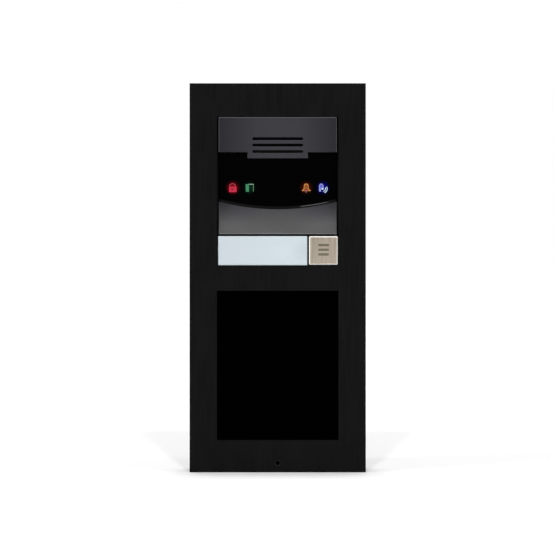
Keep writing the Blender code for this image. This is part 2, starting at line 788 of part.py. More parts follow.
def build_main_board():
    """The main circuit board with its largest parts, notched for the connectors."""
    board = box(
        "main_board",
        around(0, BOARD_HALF_W),
        (BOARD_FRONT, BOARD_REAR),
        around(MAIN_Z, BOARD_HALF_H),
        board_green,
    )
    join(board, box("processor", (-12, 4), (-14.2, BOARD_FRONT + 0.5), (148, 162)))
    join(board, box("memory", (12, 22), (-13.8, BOARD_FRONT + 0.5), (150, 160)))
    join(board, box("network_magnetics", (-26, -10), (BOARD_REAR - 0.5, -7), (143, 155)))
    through = (BOARD_FRONT - 4, BOARD_REAR + 5)
    below = MAIN_Z - BOARD_HALF_H - 2
    link_x = (LINK_SOCKET_X[0] - 0.4, BOARD_HALF_W + 4)
    cut(board, box("jack_notch", widened(JACK_X), through, (below, JACK_TOP + 0.4)))
    cut(board, box("terminal_notch", widened(TERMINAL_X), through, (below, TERMINAL_TOP + 0.4)))
    cut(board, box("link_notch", link_x, through, (below, UPPER_PLUG_Z[1] + 0.4)))


def build_connectors():
    """The network jack and the terminal block, both open downwards."""
    base = MAIN_Z - HOUSING_HALF_H + GAP
    jack = box("network_jack", JACK_X, JACK_Y, (base, JACK_TOP), bright_steel)
    socket_y = (JACK_Y[0] + 2.6, JACK_Y[1] - 1.7)
    socket_z = (base - 3, JACK_TOP - 3.5)
    cut(jack, box("jack_socket", widened(JACK_X, -JACK_WALL), socket_y, socket_z))
    block = box("terminal_block", TERMINAL_X, TERMINAL_Y, (base, TERMINAL_TOP), terminal_green)
    pitch = (TERMINAL_X[1] - TERMINAL_X[0]) / TERMINAL_WAYS
    for way in range(TERMINAL_WAYS):
        x = TERMINAL_X[0] + pitch * (way + 0.5)
        cut(block, box(f"terminal_way_{way}", around(x, 1.1), (-12.9, -9.8), (base - 3, 128.5)))


def build_speaker():
    """The loudspeaker's frame and magnet, its cone, and the mesh behind the slots."""
    rear = -13.4
    basket = [
        (0, 1.8), (8.0, 1.8), (11.3, 4.2), (11.3, 6.4), (12.5, 6.4),
        (12.5, 3.8), (9.0, 1.0), (9.0, 0), (0, 0),
    ]
    turned("speaker_frame", basket, 0, SPEAKER_Z, rear, black_plastic, steps=20)
    cone = [(0, 3.9), (2.8, 3.7), (10.6, 5.9), (10.6, 5.5), (2.8, 3.2), (0, 3.2)]
    turned("speaker_cone", cone, 0, SPEAKER_Z, rear, cone_paper, steps=16)
    mesh_front = HOOD_FRONT + HOOD_SKIN + 0.1
    box(
        "speaker_mesh",
        around(0, SLOT_LENGTH / 2 + 0.45),
        (mesh_front + GAP - 0.1, mesh_front + 0.6),
        (VISOR_TOP + 2 * GAP, SLOT_Z[0] + 2.9),
        bright_steel,
    )
    corners = [(10.1, -14, SPEAKER_Z), (11.9, -14.1, 198), (12.6, -14.2, 193), (12.4, -13.9, 186)]
    lead = smooth_route(corners)
    wire("speaker_lead", lead, 0.6, lead_grey)


def build_camera():
    """The camera's board, barrel and lens, with an infrared lamp on each side."""
    box("camera_board", around(0, 17), (-14.5, -13.3), around(CAMERA_Z, 8), board_green)
    base = -14.5 - GAP
    barrel = [(0, 5.0), (4.4, 5.0), (4.4, 7.8), (5.5, 7.8), (5.5, 0), (0, 0)]
    turned("lens_barrel", barrel, 0, CAMERA_Z, base, black_plastic, steps=20)
    lens = [(0, 7.5), (2.2, 7.2), (4.1, 6.4), (4.1, 5.3), (0, 5.3)]
    turned("camera_lens", lens, 0, CAMERA_Z, base, lens_glass, steps=20)
    lamp = [(0, 7.0), (1.3, 6.7), (2.2, 5.8), (2.5, 4.6), (2.5, 0.9), (2.9, 0.9), (2.9, 0), (0, 0)]
    for side, x in (("left", -13), ("right", 13)):
        turned(f"infrared_led_{side}", lamp, x, CAMERA_Z + 4.5, base, lamp_lens, steps=12)


def build_icon_lights():
    """Four light guides behind the visor and the board that lights them."""
    board_y = (-18.9, -17.9)
    board = box("icon_light_board", around(0, 31), board_y, (166.9, 175.2), board_green)
    cut(board, rod("camera_clearance", 0, CAMERA_Z, (-22, -15), 6.2, sides=16))
    for name, x in ICON_X.items():
        outer = abs(x) + ICON_HALF
        front = visor_y(outer) + VISOR_SKIN + GAP
        box(
            f"{name}_icon_guide",
            around(x, ICON_HALF),
            (front, board_y[0] - GAP),
            around(ICON_Z, ICON_HALF),
            clear_guide,
        )


def build_microphone():
    """The microphone capsule in its rubber boot behind the gap over the nameplate."""
    boot_rear = -16.9
    boot = [(0, 0.5), (2.7, 0.5), (2.7, 2.9), (3.4, 2.9), (3.4, 0), (0, 0)]
    turned("microphone_boot", boot, 0, MICROPHONE_Z, boot_rear, seal_rubber)
    rod("microphone", 0, MICROPHONE_Z, (-19.6, -17.7), 2.4, bright_steel)


def build_nameplate():
    """The clip-on nameplate window, its card, and the backlight behind it."""
    rear = FLANGE_FRONT - GAP
    window = box("nameplate_window", NAMEPLATE_X, (NAMEPLATE_FRONT, rear), NAMEPLATE_Z, milky_plastic)
    inner_x = (NAMEPLATE_X[0] + NAMEPLATE_SKIN, NAMEPLATE_X[1] - NAMEPLATE_SKIN)
    inner_z = (NAMEPLATE_Z[0] + NAMEPLATE_SKIN, NAMEPLATE_Z[1] - NAMEPLATE_SKIN)
    skin_rear = NAMEPLATE_FRONT + NAMEPLATE_SKIN
    cut(window, box("nameplate_inside", inner_x, (skin_rear, rear + 3), inner_z))
    clip_y = (rear - 2, FLANGE_REAR + 0.1)
    for side, x in zip(("left", "right"), NAMEPLATE_X):
        inward = NAMEPLATE_SKIN - 0.05 if side == "left" else -(NAMEPLATE_SKIN - 0.05)
        span = sorted((x + inward, x + math.copysign(0.05, inward)))
        join(window, box(f"nameplate_clip_{side}", span, clip_y, around(STRIP_Z, CLIP_HALF_H)))
    card_x = widened(inner_x, -0.35)
    card_z = widened(inner_z, -0.4)
    box("name_card", card_x, (skin_rear + GAP, skin_rear + GAP + 0.4), card_z, white_card)
    box("nameplate_diffuser", card_x, (skin_rear + 1.1, rear), card_z, clear_guide)
    box("nameplate_light_board", (-30, 12), (-19.8, -18.8), around(STRIP_Z, 3), board_green)


def build_call_button():
    """The call button's cap and stem, its return spring and the switch behind it."""
    cap = box("call_button_cap", BUTTON_X, (BUTTON_FRONT, BUTTON_REAR), BUTTON_Z, brushed_nickel)
    cap_inside = BUTTON_FRONT + BUTTON_SKIN
    cut(cap, box(
        "cap_inside",
        (BUTTON_X[0] + BUTTON_SKIN, BUTTON_X[1] - BUTTON_SKIN),
        (cap_inside, BUTTON_REAR + 2),
        (BUTTON_Z[0] + BUTTON_SKIN, BUTTON_Z[1] - BUTTON_SKIN),
    ))
    join(cap, rod("button_stem", BUTTON_AXIS_X, STRIP_Z, (cap_inside - 0.5, STEM_END), STEM_RADIUS))
    for row in (-1, 0, 1):
        bar_z = STRIP_Z + BAR_OFFSET + row * BAR_PITCH
        bar = rounded_slot(BUTTON_AXIS_X + BAR_OFFSET, bar_z, BAR_LENGTH, BAR_HEIGHT)
        cut(cap, sheet_cut(f"button_bar_{row}", bar, (FRONT - 2, BUTTON_FRONT + BAR_DEPTH)))
    build_button_spring(cap_inside)
    build_call_switch()


def build_button_spring(cap_inside):
    """The coil spring between the cap and the flange."""
    coil_start = cap_inside + GAP + SPRING_WIRE
    coil_end = FLANGE_FRONT - GAP - SPRING_WIRE
    steps = round(SPRING_TURNS * 10)
    coil = []
    for i in range(steps + 1):
        angle = 2 * math.pi * SPRING_TURNS * i / steps
        coil.append((
            BUTTON_AXIS_X + SPRING_RADIUS * math.cos(angle),
            coil_start + (coil_end - coil_start) * i / steps,
            STRIP_Z + SPRING_RADIUS * math.sin(angle),
        ))
    wire("call_button_spring", coil, SPRING_WIRE, bright_steel)


def build_call_switch():
    """The switch on the main board and its plunger."""
    switch = box(
        "call_switch_body",
        around(BUTTON_AXIS_X, SWITCH_HALF_W),
        (SWITCH_FRONT, BOARD_FRONT - GAP),
        around(STRIP_Z, SWITCH_HALF_W),
        black_plastic,
    )
    bore_y = (SWITCH_FRONT - 3, PLUNGER_END + 1.3)
    cut(switch, rod("switch_bore", BUTTON_AXIS_X, STRIP_Z, bore_y, PLUNGER_RADIUS + GAP))
    plunger_y = (STEM_END + GAP, PLUNGER_END)
    rod("call_switch_plunger", BUTTON_AXIS_X, STRIP_Z, plunger_y, PLUNGER_RADIUS, clear_guide)


# ---- reader module and the link between the modules ----

def build_reader():
    """The plain black reader: its cover, antenna board and rear housing."""
    cover = box(
        "reader_cover", around(0, FLANGE_HALF_W), (FLANGE_FRONT, FLANGE_REAR),
        around(READER_Z, FLANGE_HALF_H), smoked_gloss,
    )
    join(cover, box(
        "reader_face",
        around(0, READER_HALF_W),
        (READER_FRONT, FLANGE_REAR - 0.5),
        around(READER_Z, READER_HALF_H),
    ))
    cut(cover, box(
        "reader_face_inside",
        around(0, READER_HALF_W - READER_SKIN),
        (READER_FRONT + READER_SKIN, FLANGE_REAR + 3),
        around(READER_Z, READER_HALF_H - READER_SKIN),
    ))
    through = (FLANGE_FRONT - 2, FLANGE_REAR + 2)
    for x in (-MODULE_SCREW_X, MODULE_SCREW_X):
        for dz in (-MODULE_SCREW_DZ, MODULE_SCREW_DZ):
            hole = f"reader_flange_hole_{x:.0f}_{dz:.0f}"
            cut(cover, rod(hole, x, READER_Z + dz, through, SCREW_HOLE_RADIUS, sides=8))
    board_z = around(READER_Z, 41)
    board = box("reader_antenna_board", around(0, 33), (-24.8, -23.6), board_z, board_green)
    join(board, box("reader_chip", (-8, 8), (-24, -21.8), (READER_Z - 6, READER_Z + 6)))
    housing = open_box("reader_rear_housing", READER_Z, READER_HOUSING_REAR, black_plastic)
    plug_x, plug_z = widened(LOWER_PLUG_X, GAP), widened(LOWER_PLUG_Z, GAP)
    cut(housing, box("reader_plug_cutout", plug_x, (-16, -11), plug_z))


def build_link():
    """The bus lead from the main unit to the reader, with a plug on each end."""
    box("link_plug_upper", LINK_SOCKET_X, UPPER_PLUG_Y, UPPER_PLUG_Z, black_plastic)
    box("link_plug_lower", LOWER_PLUG_X, LOWER_PLUG_Y, LOWER_PLUG_Z, black_plastic)
    start = (sum(LOWER_PLUG_X) / 2, -11.0, LOWER_PLUG_Z[1] + GAP)
    end = (sum(LINK_SOCKET_X) / 2, sum(UPPER_PLUG_Y) / 2, UPPER_PLUG_Z[0] - GAP)
    steps = 12
    lead = []
    for i in range(steps + 1):
        t = i / steps
        swing = 3 * t ** 2 - 2 * t ** 3
        lead.append((
            start[0] + (end[0] - start[0]) * swing,
            start[1] + (end[1] - start[1]) * swing,
            start[2] + (end[2] - start[2]) * t,
        ))
    wire("link_cable", lead, LEAD_RADIUS, lead_grey, sides_detail=2)


build_wall_box()
build_cable_grommet()
build_front_frame()
build_frame_seal()
build_module_carrier()
build_frame_screws()
build_main_unit_bezel()
build_camera_visor()
build_module_gasket("main_unit_gasket", MAIN_Z)
build_main_rear_housing()
build_main_board()
build_connectors()
build_speaker()
build_camera()
build_icon_lights()
build_microphone()
build_nameplate()
build_call_button()
build_module_screws("main_unit", MAIN_Z)
build_reader()
build_module_gasket("reader_gasket", READER_Z)
build_module_screws("reader", READER_Z)
build_link()
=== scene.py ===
"""Looks for the door intercom panel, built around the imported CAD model.

Every piece is in metres in the frame of the CAD: X to the right, Y into the wall, Z up.
"""

import json
import math

import bmesh
import bpy
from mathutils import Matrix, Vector


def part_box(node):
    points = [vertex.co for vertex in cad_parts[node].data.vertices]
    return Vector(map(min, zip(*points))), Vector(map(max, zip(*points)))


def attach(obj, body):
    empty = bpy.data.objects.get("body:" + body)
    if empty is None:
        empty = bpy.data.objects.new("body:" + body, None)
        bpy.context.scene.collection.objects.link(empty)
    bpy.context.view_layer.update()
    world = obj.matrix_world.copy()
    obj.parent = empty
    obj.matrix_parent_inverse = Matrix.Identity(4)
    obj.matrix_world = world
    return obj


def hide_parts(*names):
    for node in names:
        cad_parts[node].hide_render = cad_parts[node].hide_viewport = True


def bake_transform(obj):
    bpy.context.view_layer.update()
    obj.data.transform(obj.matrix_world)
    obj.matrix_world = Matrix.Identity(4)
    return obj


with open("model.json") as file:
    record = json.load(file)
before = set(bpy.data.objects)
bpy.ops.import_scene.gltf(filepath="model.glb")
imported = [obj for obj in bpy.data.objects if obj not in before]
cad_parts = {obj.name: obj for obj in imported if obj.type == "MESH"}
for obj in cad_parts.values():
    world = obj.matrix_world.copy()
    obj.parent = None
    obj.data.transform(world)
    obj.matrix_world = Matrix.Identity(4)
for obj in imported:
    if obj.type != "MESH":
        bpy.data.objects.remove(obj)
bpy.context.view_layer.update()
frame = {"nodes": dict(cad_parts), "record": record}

MM = 0.001
IMAGE_SIDE = 553

# ---- places read from the CAD ----

panel_low, panel_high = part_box("front_frame")
box_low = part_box("wall_box")[0]
bezel_low, bezel_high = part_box("main_unit_bezel")
visor_low, visor_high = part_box("camera_visor")
plate_low, plate_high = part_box("nameplate_window")
cap_low, cap_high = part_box("call_button_cap")
reader_low, reader_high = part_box("reader_cover")
grommet_low, grommet_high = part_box("cable_grommet")
screw_low, screw_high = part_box("security_screw")

PANEL_FRONT = panel_low.y
PANEL_BOTTOM = panel_low.z
PANEL_TOP = panel_high.z
PANEL_HALF_W = panel_high.x
SKIRT_REAR = -22.9 * MM
SEAL_WIDTH = 1.4 * MM
MAIN_Z = (bezel_low.z + bezel_high.z) / 2
READER_Z = (reader_low.z + reader_high.z) / 2
STRIP_Z = (cap_low.z + cap_high.z) / 2
GROMMET_Z = (grommet_low.z + grommet_high.z) / 2
WINDOW_HALF_W = 36.55 * MM
WINDOW_HALF_H = 44.9 * MM

# ---- small features that the boxes don't give ----

FLANGE_FRONT = -21.6 * MM
FLANGE_REAR = -20.1 * MM
HOOK_X = 30 * MM
HOOK_HALF_W = 4 * MM
HOOD_FRONT = bezel_low.y
HOOD_HALF_W = 35.58 * MM
HOOD_TOP = MAIN_Z + 44.65 * MM
HOOD_BOTTOM = MAIN_Z + 23.45 * MM
HOOD_SKIN = 1.8 * MM
TAB_HALF_W = 18.4 * MM
TAB_BOTTOM = MAIN_Z + 19.8 * MM
SLOT_LENGTH = 30.5 * MM
SLOT_HEIGHT = 1.6 * MM
SLOT_PITCH = 3.85 * MM
SLOT_MIDDLE = MAIN_Z + 27.75 * MM

VISOR_HALF_W = visor_high.x
VISOR_TOP = visor_high.z + 0.35 * MM
VISOR_MIDDLE_Y = visor_low.y
VISOR_BULGE = 2.0 * MM
VISOR_SKIN = 1.5 * MM
ARCH_MIDDLE_Z = visor_low.z
ARCH_RISE = 4.7 * MM

CHIN_TOP_GAP = 0.15 * MM
CHIN_STEP_BACK = 0.5 * MM
CHIN_BOTTOM = MAIN_Z - 25.8 * MM
CHIN_LIP_Y = -27.2 * MM
CHIN_REAR = -20.3 * MM
CHIN_SWEEP = 1.7
EDGE_COLUMNS = 96

ICON_Z = MAIN_Z + 2.2 * MM
ICON_SIZE = 5.0 * MM

BUTTON_AXIS_X = 27.34 * MM
BUTTON_WALL_REAR = -23.4 * MM

SECURITY_Z = (screw_low.z + screw_high.z) / 2
SECURITY_HOLE = 1.35 * MM
SECURITY_SINK = 0.25 * MM


# ---- materials ----

def grey(level):
    """A neutral tone, or one factor along all three axes."""
    return (level, level, level)


class Finish:
    """A material with a Principled shader, and short ways to build its textures."""

    def __init__(self, name, **sockets):
        self.material = bpy.data.materials.new(name)
        self.material.use_nodes = True
        self.nodes = self.material.node_tree.nodes
        self.links = self.material.node_tree.links
        self.shader = self.nodes["Principled BSDF"]
        for socket, value in sockets.items():
            self.shader.inputs[socket.replace("_", " ")].default_value = value
        self.place = self.node("TexCoord").outputs["Object"]

    def feed(self, socket, value):
        """Link a value to a socket, or set the socket to a plain one."""
        if isinstance(value, bpy.types.NodeSocket):
            self.links.new(value, socket)
        else:
            socket.default_value = value

    def node(self, kind, **inputs):
        """A new node with some of its inputs fed."""
        node = self.nodes.new(f"ShaderNode{kind}")
        for name, value in inputs.items():
            self.feed(node.inputs[name.replace("_", " ")], value)
        return node

    def stretch(self, scale):
        """Object coordinates scaled by one factor or by three, per metre."""
        factors = scale if isinstance(scale, tuple) else grey(scale)
        return self.node("Mapping", Vector=self.place, Scale=factors).outputs["Vector"]

    def noise(self, scale, detail=3.0, roughness=0.55, distortion=0.0):
        """Noise over scaled coordinates."""
        return self.node(
            "TexNoise", Vector=self.stretch(scale), Scale=1.0,
            Detail=detail, Roughness=roughness, Distortion=distortion,
        ).outputs["Fac"]

    def cells(self, scale):
        """Distance to the nearest point of a scattered set."""
        return self.node("TexVoronoi", Vector=self.stretch(scale), Scale=1.0).outputs["Distance"]

    def spread(self, value, low, high, start=0.3, stop=0.7):
        """Map a value's middle range to low..high."""
        return self.node(
            "MapRange", Value=value, From_Min=start, From_Max=stop, To_Min=low, To_Max=high,
        ).outputs["Result"]

    def maths(self, operation, *values):
        """One operation over linked values and plain numbers."""
        node = self.node("Math")
        node.operation = operation
        for socket, value in zip(node.inputs, values):
            self.feed(socket, value)
        return node.outputs["Value"]

    def nearness(self, centre, start, stop):
        """One at a point and out to start, then falling to none at stop."""
        offset = self.node("VectorMath")
        offset.operation = "DISTANCE"
        self.feed(offset.inputs[0], self.place)
        self.feed(offset.inputs[1], centre)
        return self.spread(offset.outputs["Value"], 1.0, 0.0, start, stop)

    def tint(self, value, dark, light, start=0.3, stop=0.7):
        """A colour that runs from dark to light as a value rises."""
        node = self.node("ValToRGB", Fac=value)
        node.color_ramp.elements[0].position = start
        node.color_ramp.elements[1].position = stop
        node.color_ramp.elements[0].color = (*dark, 1)
        node.color_ramp.elements[1].color = (*light, 1)
        return node.outputs["Color"]

    def blend(self, first, second, share, kind="MIX"):
        """Two colours mixed by a share."""
        node = self.node("Mix")
        node.data_type = "RGBA"
        node.blend_type = kind
        for socket, value in (("A", first), ("B", second)):
            target = [s for s in node.inputs if s.name == socket and s.type == "RGBA"][0]
            self.feed(target, (*value, 1) if isinstance(value, tuple) else value)
        self.feed(node.inputs["Factor"], share)
        return [s for s in node.outputs if s.type == "RGBA"][0]

    def bump(self, *layers):
        """Stack (height, distance in metres) layers into the shader's normal."""
        normal = None
        for height, distance in layers:
            node = self.node("Bump", Strength=1.0, Distance=distance, Height=height)
            if normal:
                self.links.new(normal, node.inputs["Normal"])
            normal = node.outputs["Normal"]
        self.links.new(normal, self.shader.inputs["Normal"])

    def use(self, socket, value):
        """Link a value to one of the shader's sockets."""
        self.links.new(value, self.shader.inputs[socket])


def grained_finish(name, scale, tones, spread=None, relief=None, detail=3.0, distortion=0.0, **sockets):
    """One grain sets the colour and, where they are given, the roughness and the relief."""
    f = Finish(name, **sockets)
    grain = f.noise(scale, detail=detail, distortion=distortion)
    f.use("Base Color", f.tint(grain, *tones))
    if spread:
        f.use("Roughness", f.spread(grain, *spread))
    if relief:
        f.bump((grain, relief))
    return f.material


def frame_finish():
    """Matte black coat over fine vertical brushing, a little mottled, and painted lighter round the screw
    hole's countersink as a painted highlight.
    """
    f = Finish("frame_black", Specular_IOR_Level=0.045)
    brush = f.noise((1900, 1900, 40), detail=4, roughness=0.65)
    mottle = f.noise((95, 95, 50))
    streak = f.tint(brush, grey(0.0012), grey(0.0055))
    coat = f.blend(streak, (0.0054, 0.0053, 0.0054), f.spread(mottle, 0.0, 0.5))
    # Painted highlight: the countersink round the screw hole is painted lighter than the coat, so the light
    # on its lower edge shows brighter.
    rim = SECURITY_HOLE + SECURITY_SINK
    sink_highlight = f.nearness((0, PANEL_FRONT, SECURITY_Z), rim, rim + 0.1 * MM)
    f.use("Base Color", f.blend(coat, grey(0.019), sink_highlight))
    f.use("Roughness", f.spread(f.noise((900, 900, 30)), 0.55, 0.68))
    f.bump((brush, 0.000004), (mottle, 0.00001))
    return f.material


def box_finish():
    """Black powder coat with a fine orange peel."""
    f = Finish("box_black", Specular_IOR_Level=0.35)
    wide = f.noise(60)
    f.use("Base Color", f.tint(wide, (0.0085, 0.0085, 0.009), (0.0145, 0.0143, 0.0148)))
    f.use("Roughness", f.spread(wide, 0.46, 0.58))
    f.bump((f.noise(1500, detail=2), 0.00002))
    return f.material


def anthracite_finish(name, roughness, tones, edge_highlight_tone, heights, sides, edge_highlights):
    """Satin anthracite lacquer with fine metal grain, painted lighter along its edges as painted highlights.

    The tones are those low down, high up, and high up at the sides; where the high or side
    tone is darker, that is painted shade. They change between two heights, and between two
    distances from the middle. The last argument gives each painted highlight along an edge
    as an axis, Z or SIDE for the distance from the middle, and the two places between which
    the colour turns to the highlight tone.
    """
    f = Finish(name, Metallic=0.6, Specular_IOR_Level=0.3)
    grain = f.noise(5200, detail=2, roughness=0.7)
    split = f.node("SeparateXYZ", Vector=f.place)
    place = {"Z": split.outputs["Z"], "SIDE": f.maths("ABSOLUTE", split.outputs["X"])}
    rise = f.spread(place["Z"], 0.0, 1.0, *heights)
    aside = f.spread(place["SIDE"], 0.0, 1.0, *sides)
    low_tone, high_tone, side_shade_tone = tones
    # Painted shade: the side tone darkens the colour towards the sides, high up.
    base = f.blend(f.blend(low_tone, high_tone, rise), side_shade_tone, f.maths("MULTIPLY", rise, aside))
    # Painted highlights: along each given edge the colour turns to the highlight tone.
    for axis, start, stop in edge_highlights:
        base = f.blend(base, edge_highlight_tone, f.spread(place[axis], 0.0, 1.0, start, stop))
    speckle = f.tint(grain, grey(0.86), grey(1.14))
    f.use("Base Color", f.blend(base, speckle, 1.0, "MULTIPLY"))
    f.use("Roughness", f.spread(f.noise(45), roughness - 0.04, roughness + 0.04))
    f.bump((grain, 0.000005))
    return f.material


def milky_finish():
    """Satin bluish white plastic, lit from behind, a touch greyer towards its left end and darker towards its
    right end as painted shade.
    """
    f = Finish(
        "milky_plastic", Specular_IOR_Level=0.4, Subsurface_Weight=0.15, Subsurface_Radius=grey(0.002),
        Emission_Color=(0.80, 0.92, 1.0, 1), Emission_Strength=0.06,
    )
    cloud = f.noise((28, 28, 60), detail=2)
    body = f.tint(cloud, (0.438, 0.495, 0.528), (0.456, 0.517, 0.547))
    middle_z = (plate_low.z + plate_high.z) / 2
    left_end = f.nearness((plate_low.x, plate_low.y, middle_z), 8 * MM, 32 * MM)
    # Painted shade: the body darkens towards the right end.
    right_end_shade = f.nearness((plate_high.x - 0.8 * MM, plate_low.y, middle_z), 1.5 * MM, 9 * MM)
    body = f.blend(body, (0.434, 0.478, 0.513), left_end)
    f.use("Base Color", f.blend(body, (0.395, 0.446, 0.474), right_end_shade))
    f.use("Roughness", f.spread(f.noise(700), 0.28, 0.34))
    f.bump((f.noise(400), 0.000002))
    return f.material


def nickel_finish():
    """Warm nickel, brushed straight up and down."""
    f = Finish("brushed_nickel", Metallic=0.85, Anisotropic=0.4)
    brush = f.noise((4200, 4200, 160), roughness=0.65)
    base = f.tint(brush, (0.283, 0.242, 0.194), (0.405, 0.355, 0.292))
    wide = f.tint(f.noise((1000, 1000, 50)), (0.255, 0.218, 0.174), (0.465, 0.407, 0.334))
    f.use("Base Color", f.blend(base, wide, 0.5))
    f.use("Roughness", f.spread(brush, 0.28, 0.42))
    f.bump((brush, 0.000008))
    return f.material


def plain_plastic(name, dark, light):
    """A moulded plastic with a fine spark-eroded grain."""
    f = Finish(name, Specular_IOR_Level=0.4)
    grain = f.noise(2200, detail=2)
    f.use("Base Color", f.tint(f.noise(80), dark, light))
    f.use("Roughness", f.spread(grain, 0.45, 0.6))
    f.bump((grain, 0.000012))
    return f.material


def rubber_finish():
    """Matte black rubber with a dusty bloom."""
    f = Finish("seal_rubber", Specular_IOR_Level=0.25)
    grain = f.noise(1400, detail=4)
    f.use("Base Color", f.tint(f.noise(120, detail=4), grey(0.008), (0.022, 0.022, 0.023)))
    f.use("Roughness", f.spread(grain, 0.7, 0.9))
    f.bump((grain, 0.00003))
    return f.material


def board_finish():
    """Green solder mask over copper tracks, with small bright pads."""
    f = Finish("board_green", Roughness=0.4)
    turn = f.node("Mapping", Vector=f.place, Rotation=(math.pi / 2, 0, 0), Scale=grey(260))
    bricks = f.node(
        "TexBrick", Vector=turn.outputs["Vector"], Scale=1.0, Mortar_Size=0.08,
        Color1=(0.010, 0.085, 0.032, 1), Color2=(0.016, 0.120, 0.045, 1), Mortar=(0.035, 0.190, 0.060, 1),
    )
    pads = f.spread(f.cells(330), 1.0, 0.0, start=0.10, stop=0.13)
    f.use("Base Color", f.blend(bricks.outputs["Color"], (0.62, 0.55, 0.32), pads))
    f.use("Metallic", f.spread(pads, 0.0, 0.9, start=0.4, stop=0.6))
    f.bump((bricks.outputs["Fac"], 0.00002))
    return f.material


def plated_steel(name, dark, light, roughness=(0.22, 0.4)):
    """Plated steel with a soft spangle."""
    f = Finish(name, Metallic=1.0)
    fine = f.noise((2600, 2600, 700))
    f.use("Base Color", f.tint(f.cells(260), dark, light, start=0.1, stop=0.9))
    f.use("Roughness", f.spread(fine, *roughness))
    f.bump((fine, 0.000005))
    return f.material


def speaker_mesh_finish():
    """Black acoustic mesh: a fine weave."""
    f = Finish("speaker_mesh_black", Roughness=0.7, Specular_IOR_Level=0.05)
    holes = f.cells(2300)
    f.use("Base Color", f.tint(holes, grey(0.0003), grey(0.003)))
    f.bump((holes, 0.00008))
    return f.material


def icon_finish(name, colour):
    """A lit symbol: even emission with a faint print grain."""
    f = Finish(
        name, Base_Color=(*grey(0.01), 1), Roughness=0.4, Specular_IOR_Level=0.1, Emission_Strength=1.0,
    )
    light = tuple(min(1.0, 1.12 * c) for c in colour)
    f.use("Emission Color", f.tint(f.noise(900, detail=2), colour, light))
    return f.material


FINISHES = {
    "black_paint": box_finish(),
    "frame_paint": frame_finish(),
    # The hood: its darker tone towards the sides is painted shade, and its top and side edges are painted
    # highlights.
    "anthracite": anthracite_finish(
        "anthracite", 0.48,
        tones=((0.0335, 0.0325, 0.0390), (0.0335, 0.0325, 0.0390), (0.0160, 0.0152, 0.0200)),
        edge_highlight_tone=(0.075, 0.075, 0.082),
        heights=(HOOD_BOTTOM - 9 * MM, HOOD_BOTTOM), sides=(12 * MM, 34 * MM),
        edge_highlights=[
            ("Z", HOOD_TOP - 0.7 * MM, HOOD_TOP - 0.3 * MM),
            ("SIDE", HOOD_HALF_W - 0.5 * MM, HOOD_HALF_W - 0.2 * MM),
        ],
    ),
    "smoked_gloss": grained_finish(
        "smoked_gloss", 35, ((0.0006, 0.0006, 0.0007), (0.00101, 0.00101, 0.00117)), (0.03, 0.09), detail=4,
    ),
    "reader_black": grained_finish(
        "reader_black", 35, (grey(0.0), grey(0.00005)), (0.04, 0.12), detail=4, IOR=1.03,
    ),
    "black_plastic": plain_plastic("black_plastic", (0.010, 0.010, 0.011), (0.020, 0.020, 0.021)),
    "seal_rubber": rubber_finish(),
    "milky_plastic": milky_finish(),
    "white_card": grained_finish(
        "white_card", 1700, ((0.80, 0.81, 0.81), (0.88, 0.89, 0.89)), relief=0.00001, detail=4, Roughness=0.8,
    ),
    "clear_guide": grained_finish(
        "clear_guide", 300, ((0.66, 0.69, 0.72), (0.80, 0.83, 0.85)), (0.12, 0.3),
    ),
    "brushed_nickel": nickel_finish(),
    "bright_steel": plated_steel("bright_steel", (0.50, 0.50, 0.52), (0.68, 0.68, 0.70)),
    "zinc_steel": plated_steel("zinc_steel", (0.36, 0.36, 0.38), (0.52, 0.52, 0.53), (0.3, 0.5)),
    "screw_steel": plated_steel("screw_steel", (0.38, 0.38, 0.39), (0.55, 0.55, 0.56)),
    "board_green": board_finish(),
    "cone_paper": grained_finish(
        "cone_paper", 1300, ((0.028, 0.025, 0.022), (0.075, 0.068, 0.060)),
        relief=0.00004, detail=5, distortion=1.2, Roughness=0.85,
    ),
    "lens_glass": grained_finish(
        "lens_glass", 90, ((0.004, 0.004, 0.012), (0.03, 0.012, 0.05)), (0.02, 0.06),
        detail=2, Coat_Weight=0.6,
    ),
    "lamp_lens": grained_finish(
        "lamp_lens", 90, ((0.02, 0.004, 0.012), (0.06, 0.012, 0.03)), (0.02, 0.06),
        detail=2, Coat_Weight=0.6,
    ),
    "terminal_green": plain_plastic("terminal_green", (0.02, 0.17, 0.06), (0.04, 0.25, 0.09)),
    "lead_grey": plain_plastic("lead_grey", (0.10, 0.10, 0.105), (0.17, 0.17, 0.175)),
}

# ---- finishes of single pieces, inside a slot ----

# The chin: tones lighter than the hood's, in part painted light for its upward sweep; the darker, slightly
# purple tone high up and the darker upper sides are painted shade under the hood; the lip and side edges are
# painted highlights.
CHIN_FINISH = anthracite_finish(
    "anthracite_chin", 0.55,
    tones=((0.0645, 0.0645, 0.0655), (0.0505, 0.049, 0.0565), (0.0275, 0.027, 0.031)),
    edge_highlight_tone=grey(0.15),
    heights=(CHIN_BOTTOM + 7 * MM, CHIN_BOTTOM + 18 * MM), sides=(8 * MM, 34 * MM),
    edge_highlights=[
        ("Z", CHIN_BOTTOM + 0.8 * MM, CHIN_BOTTOM + 0.3 * MM),
        ("SIDE", HOOD_HALF_W - 0.6 * MM, HOOD_HALF_W - 0.2 * MM),
    ],
)
# Painted shade: a near-black finish for the bezel's flange and the hood's walls seen through gaps and slots,
# standing in for the shade there; the reader's flange uses it as plain black.
FLANGE_BLACK_AND_SHADE = grained_finish(
    "flange_black_and_painted_shade", 900, (grey(0.003), (0.007, 0.007, 0.008)),
    relief=0.00002, Roughness=0.7, Specular_IOR_Level=0.1,
)
